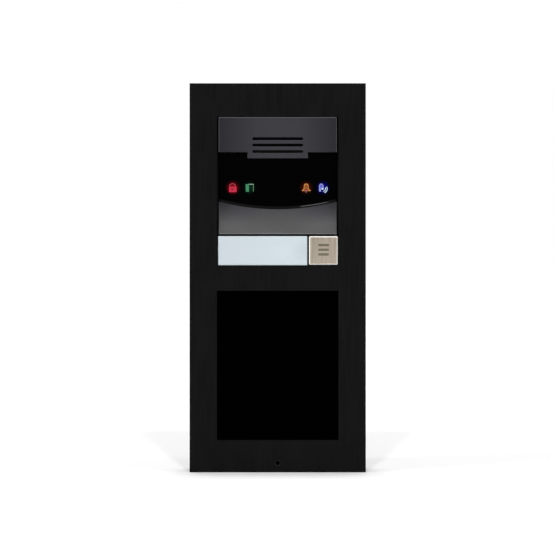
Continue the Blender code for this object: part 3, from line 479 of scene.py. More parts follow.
# Painted highlight: a near-white, barely metallic nickel for the button's chamfer, standing in for its bright
# reflection.
NICKEL_PAINTED_HIGHLIGHT = grained_finish(
    "nickel_painted_highlight", 900, ((0.93, 0.88, 0.82), (0.98, 0.95, 0.91)), (0.24, 0.36), 0.000003,
    Metallic=0.1, Specular_IOR_Level=0.6,
)
# Painted shade: a rougher nickel for the beds of the button's sunk bars, darker to stand in for the shade in
# the grooves.
DULL_NICKEL_SHADE = grained_finish(
    "dull_nickel_painted_shade", (2600, 2600, 600), ((0.119, 0.104, 0.074), (0.194, 0.170, 0.124)), (0.44, 0.58), 0.000008,
    Metallic=0.8,
)
# Painted shade: near-black steel with no reflection for the screw deep in its hole, standing in for the
# hole's shade.
STEEL_PAINTED_SHADE = grained_finish(
    "steel_painted_shade_black", 1500, (grey(0.0001), grey(0.0004)), (0.4, 0.55), 0.000008, Specular_IOR_Level=0.0,
)
SPEAKER_MESH = speaker_mesh_finish()
PALE_FLOOR = grained_finish(
    "pale_floor", 4, (grey(0.89), grey(0.91)), Roughness=0.6, Specular_IOR_Level=0.1,
)


# ---- mesh helpers ----

WELD = 1e-6
SLIVER = 1e-7
SQUARE_ON = 0.99999


def settle(piece, sharp=35):
    """Shade a mesh smooth, with sharp edges where faces meet at an angle."""
    piece.data.shade_smooth()
    piece.data.set_sharp_from_angle(angle=math.radians(sharp))
    for face in piece.data.polygons:
        if max(abs(side) for side in face.normal) > SQUARE_ON:
            face.use_smooth = False


def placed(name, data):
    """A new object in the scene."""
    item = bpy.data.objects.new(name, data)
    bpy.context.scene.collection.objects.link(item)
    return item


def show(name, mesh, slot, finish=None, body="station", stands_for=None):
    """Put a mesh in the scene in its slot's finish, or in one of its own, riding on its body."""
    piece = placed(name, mesh)
    mesh.materials.clear()
    mesh.materials.append(finish or FINISHES[slot])
    settle(piece)
    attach(piece, body)
    if stands_for:
        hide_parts(stands_for)


def mesh_of(shape, name):
    """A bmesh as mesh data."""
    mesh = bpy.data.meshes.new(name)
    shape.to_mesh(mesh)
    shape.free()
    return mesh


def evaluated_mesh(item, name):
    """What an object's modifiers or curve settings make, as a welded mesh. The object goes."""
    bpy.context.view_layer.update()
    seen = item.evaluated_get(bpy.context.evaluated_depsgraph_get())
    mesh = bpy.data.meshes.new_from_object(seen)
    mesh.transform(item.matrix_world)
    mesh.name = name
    shape = bmesh.new()
    shape.from_mesh(mesh)
    bmesh.ops.remove_doubles(shape, verts=shape.verts, dist=WELD)
    bmesh.ops.dissolve_degenerate(shape, edges=shape.edges, dist=SLIVER)
    bmesh.ops.recalc_face_normals(shape, faces=shape.faces)
    shape.to_mesh(mesh)
    shape.free()
    bpy.data.objects.remove(item, do_unlink=True)
    return mesh


def plate_mesh(name, outlines, y, edge, detail=3):
    """A plate between two y values, from an outline and its holes, with rounded edges."""
    curve = bpy.data.curves.new(name, "CURVE")
    curve.dimensions = "2D"
    curve.fill_mode = "BOTH"
    curve.extrude = (y[1] - y[0]) / 2 - edge
    curve.bevel_depth = edge
    curve.bevel_resolution = detail
    curve.offset = -edge
    for number, outline in enumerate(outlines):
        line = curve.splines.new("POLY")
        line.points.add(len(outline) - 1)
        wanted = 1 if number == 0 else -1
        ordered = outline if signed_area(outline) * wanted > 0 else outline[::-1]
        for point, (across, up) in zip(line.points, ordered):
            point.co = (across, up, 0, 1)
        line.use_cyclic_u = True
    item = placed(name, curve)
    item.location.y = (y[0] + y[1]) / 2
    item.rotation_euler.x = math.pi / 2
    return evaluated_mesh(item, name)


def signed_area(outline):
    """Twice the area inside an outline, positive when it runs anticlockwise."""
    return sum(a[0] * b[1] - b[0] * a[1] for a, b in zip(outline, outline[1:] + outline[:1]))


def arc(x, z, radius, start, stop, steps):
    """Points on an arc, with angles in quarter turns."""
    angles = [math.pi / 2 * (start + (stop - start) * i / steps) for i in range(steps + 1)]
    return [(x + radius * math.cos(a), z + radius * math.sin(a)) for a in angles]


def around(middle, reach):
    """The two places at a reach to each side of a middle."""
    return (middle - reach, middle + reach)


def round_rect(x0, x1, z0, z1, radius, steps=5):
    """A rectangle with round corners."""
    return (
        arc(x1 - radius, z1 - radius, radius, 0, 1, steps)
        + arc(x0 + radius, z1 - radius, radius, 1, 2, steps)
        + arc(x0 + radius, z0 + radius, radius, 2, 3, steps)
        + arc(x1 - radius, z0 + radius, radius, 3, 4, steps)
    )


def box_rect(low, high, inset, radius, steps=5):
    """The front outline of a CAD box, moved in by an inset."""
    return round_rect(low.x + inset, high.x - inset, low.z + inset, high.z - inset, radius, steps)


def slot_shape(x, z, length, height, steps=10):
    """A slot with round ends."""
    radius = height / 2
    reach = length / 2 - radius
    return (
        arc(x + reach, z, radius, -1, 1, steps)
        + arc(x - reach, z, radius, 1, 3, steps)
    )


def circle(x, z, radius, steps=40):
    """A full circle."""
    return arc(x, z, radius, 0, 4 - 4 / steps, steps - 1)


def block(x, y, z):
    """A hidden block for Boolean work."""
    shape = bmesh.new()
    bmesh.ops.create_cube(shape, size=1)
    bmesh.ops.scale(shape, vec=[b - a for a, b in (x, y, z)], verts=shape.verts)
    middle = Vector([(a + b) / 2 for a, b in (x, y, z)])
    bmesh.ops.translate(shape, vec=middle, verts=shape.verts)
    return placed("block", mesh_of(shape, "block"))


def bar(x, z, y, radius, rear_radius=None, sides=48):
    """A hidden cylinder or cone along Y for Boolean work."""
    shape = bmesh.new()
    bmesh.ops.create_cone(
        shape, cap_ends=True, segments=sides, radius1=radius,
        radius2=rear_radius or radius, depth=y[1] - y[0],
    )
    item = placed("bar", mesh_of(shape, "bar"))
    item.rotation_euler.x = -math.pi / 2
    item.location = (x, (y[0] + y[1]) / 2, z)
    return item


def through_tool(outline):
    """A hidden tool of a given outline, deep enough to go through the box's back."""
    return placed("tool", plate_mesh("tool", [outline], (-6 * MM, 5 * MM), 0.0))


def add(tool):
    """A carving step that joins a tool's shape on."""
    return ("UNION", tool)


def cut(tool):
    """A carving step that takes a tool's shape away."""
    return ("DIFFERENCE", tool)


def carve(base, steps, rounding=0.0, segments=3):
    """Apply Boolean steps to a block and round its edges; returns the mesh."""
    for kind, tool in steps:
        step = base.modifiers.new("step", "BOOLEAN")
        step.operation = kind
        step.solver = "EXACT"
        step.object = tool
    if rounding:
        bevel = base.modifiers.new("rounding", "BEVEL")
        bevel.width = rounding
        bevel.segments = segments
        bevel.limit_method = "ANGLE"
        bevel.angle_limit = math.radians(40)
    mesh = evaluated_mesh(base, "carved")
    for _, tool in steps:
        bpy.data.objects.remove(tool, do_unlink=True)
    return mesh


def swept_columns(name, xs, column):
    """A closed solid through one loop of (y, z) points at each x."""
    shape = bmesh.new()
    loops = [[shape.verts.new((x, y, z)) for y, z in column(x)] for x in xs]
    count = len(loops[0])
    for left, right in zip(loops, loops[1:]):
        for i in range(count):
            j = (i + 1) % count
            shape.faces.new((left[i], left[j], right[j], right[i]))
    shape.faces.new(loops[0])
    shape.faces.new(loops[-1])
    bmesh.ops.recalc_face_normals(shape, faces=shape.faces)
    return mesh_of(shape, name)


def turned_mesh(name, profile, x, z, rear, steps=48):
    """A closed profile of (radius, height over the rear) turned about an axis along Y."""
    shape = bmesh.new()
    rings = []
    for radius, height in profile:
        count = steps if radius > 0 else 1
        ring = []
        for i in range(count):
            angle = 2 * math.pi * i / count
            ring.append(shape.verts.new(
                (x + radius * math.cos(angle), rear - height, z + radius * math.sin(angle))
            ))
        rings.append(ring)
    for one, two in zip(rings, rings[1:]):
        for i in range(steps):
            j = (i + 1) % steps
            corners = [one[i % len(one)], one[j % len(one)], two[j % len(two)], two[i % len(two)]]
            shape.faces.new(list(dict.fromkeys(corners)))
    bmesh.ops.recalc_face_normals(shape, faces=shape.faces)
    return mesh_of(shape, name)


# ---- casing ----

def make_front_frame():
    """The black front with its two windows, skirt, ribs, hooks and screw hole."""
    skirt = 2.4 * MM
    plate_rear = -25.5 * MM
    rib = 1.6 * MM
    rib_rear = -23.2 * MM
    past = 2 * MM
    arm_y = (plate_rear - MM, -9.5 * MM)
    arm_z = (PANEL_TOP - 8.5 * MM, PANEL_TOP - 7 * MM)
    tooth_y = (-11.7 * MM, -9.7 * MM)
    tooth_z = (PANEL_TOP - 7.6 * MM, PANEL_TOP - 4 * MM)
    base = block(around(0, PANEL_HALF_W), (PANEL_FRONT, SKIRT_REAR), (PANEL_BOTTOM, PANEL_TOP))
    steps = [cut(block(
        around(0, PANEL_HALF_W - skirt),
        (plate_rear, SKIRT_REAR + past),
        (PANEL_BOTTOM + skirt, PANEL_TOP - skirt),
    ))]
    for z in (MAIN_Z, READER_Z):
        rib_x, rib_z = around(0, WINDOW_HALF_W + rib), around(z, WINDOW_HALF_H + rib)
        steps.append(add(block(rib_x, (plate_rear - 0.5 * MM, rib_rear), rib_z)))
        window_y = (PANEL_FRONT - past, rib_rear + past)
        steps.append(cut(block(around(0, WINDOW_HALF_W), window_y, around(z, WINDOW_HALF_H))))
    for x in (-HOOK_X, HOOK_X):
        steps.append(add(block(around(x, HOOK_HALF_W), arm_y, arm_z)))
        steps.append(add(block(around(x, HOOK_HALF_W), tooth_y, tooth_z)))
    steps.append(cut(bar(0, SECURITY_Z, (PANEL_FRONT - past, -20 * MM), SECURITY_HOLE)))
    steps.append(cut(bar(
        0, SECURITY_Z, (PANEL_FRONT - 0.1 * MM, PANEL_FRONT + SECURITY_SINK),
        SECURITY_HOLE + SECURITY_SINK + 0.1 * MM, rear_radius=SECURITY_HOLE - 0.01 * MM,
    )))
    mesh = carve(base, steps, rounding=0.1 * MM, segments=2)
    show("front_frame_shell", mesh, "frame_paint", stands_for="front_frame")


def make_frame_seal():
    """The rubber ring, pressed flat between the frame's skirt and the box's rim."""
    low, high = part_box("frame_seal")
    rings = [box_rect(low, high, 0, 1 * MM), box_rect(low, high, SEAL_WIDTH, 0.6 * MM)]
    mesh = plate_mesh("frame_seal_ring", rings, (SKIRT_REAR, box_low.y), 0.2 * MM)
    show("frame_seal_ring", mesh, "seal_rubber", stands_for="frame_seal")


def make_wall_box():
    """The black box on the wall, with posts, hook ledges, wall slots and cable entry."""
    wall = 2.5 * MM
    floor_y = -2.6 * MM
    post_root = -1.5 * MM
    thread = 1.3 * MM
    rim = box_low.y
    ledge_y = (-14 * MM, -12.2 * MM)
    ledge_z = (PANEL_TOP - 5.6 * MM, PANEL_TOP - 1.5 * MM)
    weep_y = (-16 * MM, -13 * MM)
    weep_z = (PANEL_BOTTOM - 2 * MM, PANEL_BOTTOM + 4.5 * MM)
    base = block(around(0, PANEL_HALF_W), (rim, 0), (PANEL_BOTTOM, PANEL_TOP))
    rounding = base.modifiers.new("rounding", "BEVEL")
    rounding.width = 0.6 * MM
    rounding.segments = 4
    steps = [cut(block(
        around(0, PANEL_HALF_W - wall),
        (rim - 5 * MM, floor_y),
        (PANEL_BOTTOM + wall, PANEL_TOP - wall),
    ))]
    for x in (-44 * MM, 44 * MM):
        for z in (PANEL_BOTTOM + 8.5 * MM, PANEL_TOP - 8.5 * MM):
            steps.append(add(bar(x, z, (-17.7 * MM, post_root), 3.5 * MM)))
            steps.append(cut(bar(x, z, (rim, -8 * MM), thread, sides=24)))
    steps.append(add(bar(0, SECURITY_Z, (-19.7 * MM, post_root), 3.6 * MM)))
    steps.append(cut(bar(0, SECURITY_Z, (-23 * MM, -9 * MM), thread, sides=24)))
    for x in (-HOOK_X, HOOK_X):
        steps.append(add(block(around(x, HOOK_HALF_W), ledge_y, ledge_z)))
    entry = round_rect(*around(0, 17 * MM), *around(GROMMET_Z, 11 * MM), 5 * MM, steps=8)
    steps.append(cut(through_tool(entry)))
    for x in (-34 * MM, 34 * MM):
        for z in (PANEL_BOTTOM + 38 * MM, PANEL_TOP - 38 * MM):
            steps.append(cut(through_tool(slot_shape(x, z, 9 * MM, 5.2 * MM))))
    for x in (-26 * MM, 26 * MM):
        steps.append(cut(block(around(x, 2 * MM), weep_y, weep_z)))
    show("wall_box_shell", carve(base, steps), "black_paint", stands_for="wall_box")


def make_grommet():
    """The rubber bush: a lipped plug with a tapered collar and a bore."""
    z = GROMMET_Z
    bore = circle(0, z, 4.2 * MM)
    plug = round_rect(*around(0, 16.7 * MM), *around(z, 10.7 * MM), 4.8 * MM, steps=8)
    mesh = plate_mesh("grommet_plug", [plug, bore], (-3.2 * MM, grommet_high.y), 0.4 * MM)
    show("grommet_plug", mesh, "seal_rubber", stands_for="cable_grommet")
    flange = box_rect(grommet_low, grommet_high, 0, 6 * MM, steps=8)
    mesh = plate_mesh("grommet_flange", [flange, bore], (-4.3 * MM, -2.9 * MM), 0.3 * MM)
    show("grommet_flange", mesh, "seal_rubber")
    collar = [
        (4.2, 0.0), (4.2, 5.0), (4.5, 5.2), (5.2, 5.2), (5.5, 4.9),
        (6.2, 3.0), (7.8, 0.4), (7.8, 0.0), (4.2, 0.0),
    ]
    mesh = turned_mesh("grommet_collar", [(r * MM, h * MM) for r, h in collar], 0, z, -3.8 * MM)
    show("grommet_collar", mesh, "seal_rubber")


def make_security_screw():
    """The small screw deep in the frame's lower hole, with a six-lobed socket, painted near-black as the
    hole's shade.
    """
    head_front = screw_low.y
    lobes = 6
    points = 60
    socket = []
    for i in range(points):
        angle = 2 * math.pi * i / points
        reach = 0.62 * MM + 0.11 * MM * math.cos(lobes * angle)
        socket.append((reach * math.cos(angle), SECURITY_Z + reach * math.sin(angle)))
    head = circle(0, SECURITY_Z, 1.2 * MM)
    ring = plate_mesh("screw_ring", [head, socket], (head_front, head_front + 0.9 * MM), 0.12 * MM)
    # Painted shade: the head is near-black with no reflection.
    show("security_screw_head", ring, "screw_steel", STEEL_PAINTED_SHADE, stands_for="security_screw")
    neck, crest, root, pitch = 1.1 * MM, 0.9 * MM, 0.72 * MM, 0.5 * MM
    length = -(head_front + 0.8 * MM) + screw_high.y
    profile = [(0, length), (neck, length), (neck, length - 0.9 * MM), (crest, length - 1.0 * MM)]
    height = length - 1.2 * MM
    while height > pitch:
        profile += [(crest, height), (root, height - pitch / 2)]
        height -= pitch
    profile += [(0.6 * MM, 0), (0, 0)]
    shank = turned_mesh("screw_shank", profile, 0, SECURITY_Z, screw_high.y)
    # Painted shade: the shank is near-black with no reflection.
    show("security_screw_shank", shank, "screw_steel", STEEL_PAINTED_SHADE)


# ---- main unit ----

def arch_z(x):
    """Height of the visor's arched lower edge at x."""
    return ARCH_MIDDLE_Z + ARCH_RISE * (x / HOOD_HALF_W) ** 2


def visor_y(x):
    """Depth of the visor's front at x."""
    return VISOR_MIDDLE_Y + VISOR_BULGE * (x / VISOR_HALF_W) ** 2


def edge_columns(half, radius, middle, rim=5):
    """x values over a width, with extra ones through the rounding at each side."""
    inner = half - radius
    side = [inner + radius * math.sin(math.pi / 2 * i / rim) for i in range(1, rim + 1)]
    across = [inner * (2 * i / middle - 1) for i in range(middle + 1)]
    return [-x for x in reversed(side)] + across + side


def side_drop(x, half, radius):
    """How far a face falls back through the rounding at its sides."""
    past = max(0.0, abs(x) - (half - radius))
    return radius - math.sqrt(max(0.0, radius ** 2 - past ** 2))


def quarter_turn(steps):
    """Pairs of (how far forward, how far along) through a quarter turn, each from none to one."""
    angles = [math.pi / 2 * i / steps for i in range(steps + 1)]
    return [(1 - math.cos(a), math.sin(a)) for a in angles]


def make_visor():
    """The bent smoked window, which falls back gently along its arched lower edge."""
    lower_fall = 1.8 * MM
    lower_depth = 0.17 * MM
    upper_round = 0.2 * MM
    side_round = 0.35 * MM
    rows, upper_steps, lower_steps = 26, 6, 14

    def column(x):
        front = visor_y(x) + side_drop(x, VISOR_HALF_W, side_round)
        rear = visor_y(x) + VISOR_SKIN
        bottom = arch_z(x)
        points = [
            (front + upper_round * (1 - along), VISOR_TOP - upper_round * off)
            for off, along in quarter_turn(upper_steps)
        ]
        top = VISOR_TOP - upper_round
        low = bottom + lower_fall
        points += [(front, top + (low - top) * i / rows) for i in range(1, rows)]
        points += [
            (front + lower_depth * off, low - lower_fall * along)
            for off, along in quarter_turn(lower_steps)
        ]
        return points + [(rear, bottom), (rear, VISOR_TOP)]

    mesh = swept_columns("visor", edge_columns(VISOR_HALF_W, side_round, EDGE_COLUMNS), column)
    show("visor_window", mesh, "smoked_gloss", visor_finish(), stands_for="camera_visor")


def visor_finish():
    """Smoked gloss with the soft glow that the lit icons leave in the plastic."""
    f = Finish("smoked_gloss_visor", Specular_IOR_Level=0.08, Emission_Strength=1.0)
    cloud = f.noise(35, detail=4)
    f.use("Base Color", f.tint(cloud, (0.00015, 0.00015, 0.0002), (0.0003, 0.0003, 0.0004)))
    f.use("Roughness", f.spread(cloud, 0.04, 0.09))
    glow = None
    for name, colour in ICON_GLOW.items():
        x = ICONS[name][0]
        near = f.nearness((x, visor_y(x), ICON_Z), 0.8 * MM, 5.2 * MM)
        halo = f.blend(grey(0.0), colour, f.maths("POWER", near, 2.4))
        glow = halo if glow is None else f.blend(glow, halo, 1.0, "ADD")
    f.use("Emission Color", glow)
    return f.material


def make_hood():
    """The speaker hood: a front plate with its tab and slots, and the walls behind it, painted near-black as
    the shade seen through the slots.
    """
    taper = 0.25 * MM
    corner = 0.25 * MM
    half, tab = HOOD_HALF_W, TAB_HALF_W
    outline = (
        arc(half - corner, HOOD_TOP - corner, corner, 0, 1, 4)
        + arc(-half + corner, HOOD_TOP - corner, corner, 1, 2, 4)
        + [(-half, HOOD_BOTTOM), (-tab + taper, HOOD_BOTTOM)]
        + arc(-tab + 2 * corner, TAB_BOTTOM + 2 * corner, 2 * corner, 2, 3, 4)
        + arc(tab - 2 * corner, TAB_BOTTOM + 2 * corner, 2 * corner, 3, 4, 4)
        + [(tab - taper, HOOD_BOTTOM), (half, HOOD_BOTTOM)]
    )
    slots = [
        slot_shape(0, SLOT_MIDDLE + row * SLOT_PITCH, SLOT_LENGTH, SLOT_HEIGHT)
        for row in (1, 0, -1)
    ]
    front = plate_mesh("hood_front", [outline, *slots], (HOOD_FRONT, HOOD_FRONT + HOOD_SKIN), 0.28 * MM)
    # The front plate's finish carries painted shade towards its sides and painted highlights along its top
    # and side edges.
    show("hood_front", front, "anthracite", stands_for="main_unit_bezel")
    inset = 0.3 * MM
    wall = 1.8 * MM
    outer = round_rect(*around(0, half - inset), HOOD_BOTTOM + inset, HOOD_TOP - inset, 0.3 * MM)
    inner = round_rect(*around(0, half - wall), HOOD_BOTTOM + 1.6 * MM, HOOD_TOP - wall, 0.8 * MM)
    walls_y = (HOOD_FRONT + 1.5 * MM, -21.0 * MM)
    walls = plate_mesh("hood_walls", [outer, inner], walls_y, 0.1 * MM, detail=1)
    # Painted shade: the walls are near-black so the slots read dark.
    show("hood_walls", walls, "anthracite", FLANGE_BLACK_AND_SHADE)


def make_chin():
    """The chin: a hollow sweep from the arch out to the lip over the nameplate."""
    side_round = 0.45 * MM
    lip_round = 0.15 * MM
    flare_height = 0.8 * MM
    flare = 0.22 * MM
    rows, lip_steps = 30, 6

    def column(x):
        drop = side_drop(x, HOOD_HALF_W, side_round)
        top_y = visor_y(x) + CHIN_STEP_BACK + drop
        lip_y = CHIN_LIP_Y + drop
        top_z = arch_z(x) - CHIN_TOP_GAP
        low_z = CHIN_BOTTOM + lip_round
        points = [(CHIN_REAR, top_z)]
        for i in range(rows + 1):
            t = i / rows
            z = top_z + (low_z - top_z) * t
            past = max(0.0, low_z + flare_height - z) / flare_height
            y = top_y + (lip_y - top_y) * t ** CHIN_SWEEP - flare * past ** 1.5
            points.append((y, z))
        lip_y -= flare
        points += [
            (lip_y + lip_round * off, low_z - lip_round * along)
            for off, along in quarter_turn(lip_steps)[1:]
        ]
        return points + [(CHIN_REAR, CHIN_BOTTOM)]

    mesh = swept_columns("chin", edge_columns(HOOD_HALF_W, side_round, EDGE_COLUMNS), column)
    # The chin's finish carries painted light, painted shade under the hood and painted highlights along its
    # lip and sides.
    show("chin", mesh, "anthracite", CHIN_FINISH)


def module_screw_holes(middle_z):
    """The four screw holes in a module's flange."""
    return [
        circle(x, middle_z + dz, 1.3 * MM, 20)
        for x in (-41 * MM, 41 * MM)
        for dz in (-45.5 * MM, 45.5 * MM)
    ]


def make_flange():
    """The bezel's flange behind the frame, painted near-black as the shade in the gaps, with the holes behind
    the strip.
    """
    clip_out, clip_in = 0.35 * MM, 1.55 * MM
    clip_z = around(STRIP_Z, 3.4 * MM)
    outlines = [
        box_rect(bezel_low, bezel_high, 0, 2 * MM),
        round_rect(*around(0, 35.4 * MM), CHIN_BOTTOM + 7 * MM, HOOD_TOP - 2.5 * MM, 1 * MM),
        circle(BUTTON_AXIS_X, STRIP_Z, 2.5 * MM, 24),
        slot_shape(-9 * MM, STRIP_Z, 38 * MM, 5 * MM),
        round_rect(plate_low.x - clip_out, plate_low.x + clip_in, *clip_z, 0.3 * MM),
        round_rect(plate_high.x - clip_in, plate_high.x + clip_out, *clip_z, 0.3 * MM),
        *module_screw_holes(MAIN_Z),
    ]
    mesh = plate_mesh("bezel_flange", outlines, (FLANGE_FRONT, FLANGE_REAR), 0.1 * MM, detail=1)
    # Painted shade: the flange is near-black so the gaps round the module read dark.
    show("bezel_flange", mesh, "anthracite", FLANGE_BLACK_AND_SHADE)


# ---- icons ----

def mirrored(points):
    """An outline's left half, closed with its mirror image."""
    return points + [(-x, z) for x, z in reversed(points)]


def stroke_arc(x, z, radius, width, start, stop, steps=14):
    """A curved stroke, with angles in quarter turns."""
    outer = arc(x, z, radius + width / 2, start, stop, steps)
    inner = arc(x, z, radius - width / 2, stop, start, steps)
    return outer + inner


def padlock():
    """A closed padlock: body with a dim keyhole, and a thin shackle."""
    body = round_rect(-0.46, 0.46, -0.53, 0.14, 0.1)
    keyhole = circle(-0.04, -0.18, 0.15, 16)
    shackle = stroke_arc(-0.03, 0.13, 0.37, 0.08, 0.05, 1.95)
    return [("pale", [shackle]), ("deep", [body]), ("dark", [keyhole])]


def open_door():
    """A doorway with its leaf standing open."""
    lintel = [(-0.1, 0.46), (0.5, 0.46), (0.5, 0.37), (-0.1, 0.37)]
    jamb = [(0.43, 0.37), (0.5, 0.37), (0.5, -0.45), (0.43, -0.45)]
    leaf = [(-0.47, 0.44), (-0.07, 0.42), (-0.07, -0.5), (-0.44, -0.46)]
    return [("pale", [lintel]), ("dim", [jamb]), ("deep", [leaf])]


def bell():
    """A bell with a pale outline, a dim band and its clapper."""
    outline = [
        (-0.05, 0.49), (-0.2, 0.45), (-0.27, 0.3), (-0.28, 0.0),
        (-0.36, -0.2), (-0.54, -0.34), (-0.48, -0.39),
    ]
    inside = [(-0.03, 0.42), (-0.15, 0.38), (-0.21, 0.25), (-0.22, -0.03), (-0.3, -0.22), (-0.38, -0.32)]
    band = [(-0.26, -0.22), (0.26, -0.22), (0.36, -0.36), (-0.36, -0.36)]
    clapper = circle(0, -0.5, 0.1, 14)
    return [
        ("grey", [clapper]), ("pale", [mirrored(outline)]), ("deep", [mirrored(inside)]), ("dim", [band]),
    ]


def talking_head():
    """A head in profile, with two waves of sound before its mouth."""

    def oval(reach_x, reach_z):
        return [
            (-0.2 + reach_x * math.cos(a), 0.16 + reach_z * math.sin(a))
            for a in (2 * math.pi * i / 24 for i in range(24))
        ]

    neck = [(-0.47, 0.05), (-0.22, -0.12), (-0.25, -0.46), (-0.47, -0.44)]
    mouth = circle(-0.04, -0.12, 0.12, 16)
    near = stroke_arc(-0.02, -0.12, 0.33, 0.09, -0.85, 0.3)
    far = stroke_arc(-0.02, -0.12, 0.53, 0.09, -0.7, 0.3)
    return [
        ("mid", [oval(0.28, 0.35)]), ("mid", [neck]), ("deep", [oval(0.19, 0.25)]),
        ("pale", [mouth]), ("pale", [near]), ("pale", [far]),
    ]


ICONS = {
    "lock": (-27.1 * MM, padlock, {
        "deep": (0.50, 0.014, 0.052), "pale": (0.36, 0.050, 0.072), "dark": (0.28, 0.001, 0.008),
    }),
    "door": (-17.0 * MM, open_door, {
        "deep": (0.043, 0.215, 0.105), "pale": (0.26, 0.40, 0.28), "dim": (0.13, 0.23, 0.13),
    }),
    "bell": (17.2 * MM, bell, {
        "deep": (0.25, 0.068, 0.002), "pale": (0.62, 0.27, 0.085), "dim": (0.30, 0.040, 0.016),
        "grey": (0.10, 0.08, 0.08),
    }),
    "talk": (27.3 * MM, talking_head, {
        "deep": (0.115, 0.115, 0.52), "mid": (0.27, 0.31, 0.66), "pale": (0.58, 0.74, 0.84),
    }),
}
ICON_GLOW = {
    "lock": (0.30, 0.0, 0.010), "door": (0.0, 0.028, 0.008),
    "bell": (0.10, 0.010, 0.0), "talk": (0.004, 0.004, 0.26),
}


def make_icons():
    """Each lit symbol lies as a thin print on the curved visor."""
    print_thickness = 0.02 * MM
    lift = 0.01 * MM
    layer = 0.004 * MM
    for name, (x, drawing, colours) in ICONS.items():
        finishes = {tone: icon_finish(f"icon_{name}_{tone}", colours[tone]) for tone in colours}
        for number, (tone, outlines) in enumerate(drawing()):
            piece = f"icon_{name}_{number}"
            scaled = [[(x + px * ICON_SIZE, ICON_Z + pz * ICON_SIZE) for px, pz in line] for line in outlines]
            mesh = plate_mesh(piece, scaled, (-print_thickness, 0), 0.0)
            for vertex in mesh.vertices:
                vertex.co.y += visor_y(vertex.co.x) - lift - number * layer
            show(piece, mesh, "smoked_gloss", finishes[tone])


# ---- nameplate and button ----

def make_nameplate():
    """The milky window with its side walls and clips."""
    skin = 1.2 * MM
    front, top = plate_low.y, plate_high.z - 0.23 * MM
    outer = round_rect(plate_low.x + 0.28 * MM, plate_high.x, plate_low.z, top, 0.3 * MM)
    inner = round_rect(
        plate_low.x + skin, plate_high.x - skin, plate_low.z + skin, top - skin, 0.2 * MM,
    )
    mesh = plate_mesh("nameplate_front", [outer], (front, front + skin), 0.3 * MM)
    show("nameplate_front", mesh, "milky_plastic", body="nameplate", stands_for="nameplate_window")
    walls_y = (front + 0.9 * MM, -21.9 * MM)
    mesh = plate_mesh("nameplate_walls", [outer, inner], walls_y, 0.1 * MM, detail=1)
    show("nameplate_walls", mesh, "milky_plastic", body="nameplate")
    for side, x in (("left", plate_low.x + skin / 2), ("right", plate_high.x - skin / 2)):
        tongue = block(around(x, skin / 2), (-22.5 * MM, plate_high.y), around(STRIP_Z, 3 * MM))
        mesh = carve(tongue, [], rounding=0.2 * MM)
        show(f"nameplate_clip_{side}", mesh, "milky_plastic", body="nameplate")


def make_call_button():
    """The nickel cap: a chamfer painted near-white as a painted highlight, round a brushed face with three
    sunk bars whose beds are painted darker as painted shade, and a stem.
    """
    x, z = BUTTON_AXIS_X, STRIP_Z
    front, top = cap_low.y, cap_high.z - 0.2 * MM
    chamfer = 0.52 * MM
    bar_depth = 0.35 * MM
    offset = 0.3 * MM
    pitch = 2.8 * MM

    def inset_rect(inset, corner):
        return round_rect(cap_low.x + inset, cap_high.x - inset, cap_low.z + inset, top - inset, corner)

    shell = [inset_rect(0, 0.5 * MM), inset_rect(1.1 * MM, 0.2 * MM)]
    mesh = plate_mesh("button_body", shell, (front, BUTTON_WALL_REAR), chamfer, detail=0)
    # Painted highlight: the chamfered rim is a near-white, barely metallic nickel.
    show(
        "call_button_rim", mesh, "brushed_nickel", NICKEL_PAINTED_HIGHLIGHT,
        body="call_button", stands_for="call_button_cap",
    )
    face = inset_rect(chamfer + 0.03 * MM, 0.2 * MM)
    bars = [slot_shape(x + offset, z + offset + row * pitch, 6.4 * MM, 1.4 * MM) for row in (1, 0, -1)]
    mesh = plate_mesh("button_face", [face, *bars], (front - 0.01 * MM, front + bar_depth), 0.16 * MM)
    show("call_button_face", mesh, "brushed_nickel", body="call_button")
    beds = round_rect(x - 4 * MM, x + 4.6 * MM, z - 4.4 * MM, z + 5 * MM, 0.2 * MM)
    beds_y = (front + bar_depth - 0.02 * MM, front + 1.4 * MM)
    mesh = plate_mesh("button_beds", [beds], beds_y, 0.05 * MM)
    # Painted shade: the bars' beds are a darker nickel.
    show("call_button_beds", mesh, "brushed_nickel", DULL_NICKEL_SHADE, body="call_button")
    stem = [(0, 9.5), (2.0, 9.5), (2.0, 0.4), (1.6, 0), (0, 0)]
    mesh = turned_mesh("button_stem", [(r * MM, h * MM) for r, h in stem], x, z, cap_high.y)
    show("call_button_stem", mesh, "black_plastic", body="call_button")


def make_button_spring():
    """The return spring: closed at both ends, and shortened between the flange and the cap."""
    low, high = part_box("call_button_spring")
    wire = 0.25 * MM
    turns = 4
    closed = 0.12
    steps = 112
    middle_x, middle_z = (low.x + high.x) / 2, (low.z + high.z) / 2
    radius = (high.x - low.x) / 2 - wire
    front, rear = low.y + wire, high.y - wire
    curve = bpy.data.curves.new("spring", "CURVE")
    curve.dimensions = "3D"
    curve.bevel_depth = wire
    curve.bevel_resolution = 2
    curve.use_fill_caps = True
    line = curve.splines.new("POLY")
    line.points.add(steps)
    for i, point in enumerate(line.points):
        share = i / steps
        along = min(1.0, max(0.0, (share - closed) / (1 - 2 * closed)))
        angle = 2 * math.pi * turns * share
        point.co = (
            middle_x + radius * math.cos(angle),
            front + (rear - front) * along,
            middle_z + radius * math.sin(angle),
            1,
        )
    mesh = evaluated_mesh(placed("spring", curve), "button_spring")
    spring = placed("button_spring", mesh)
    mesh.materials.append(FINISHES["bright_steel"])
    settle(spring, sharp=60)
    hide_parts("call_button_spring")
    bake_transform(spring)


# ---- reader ----

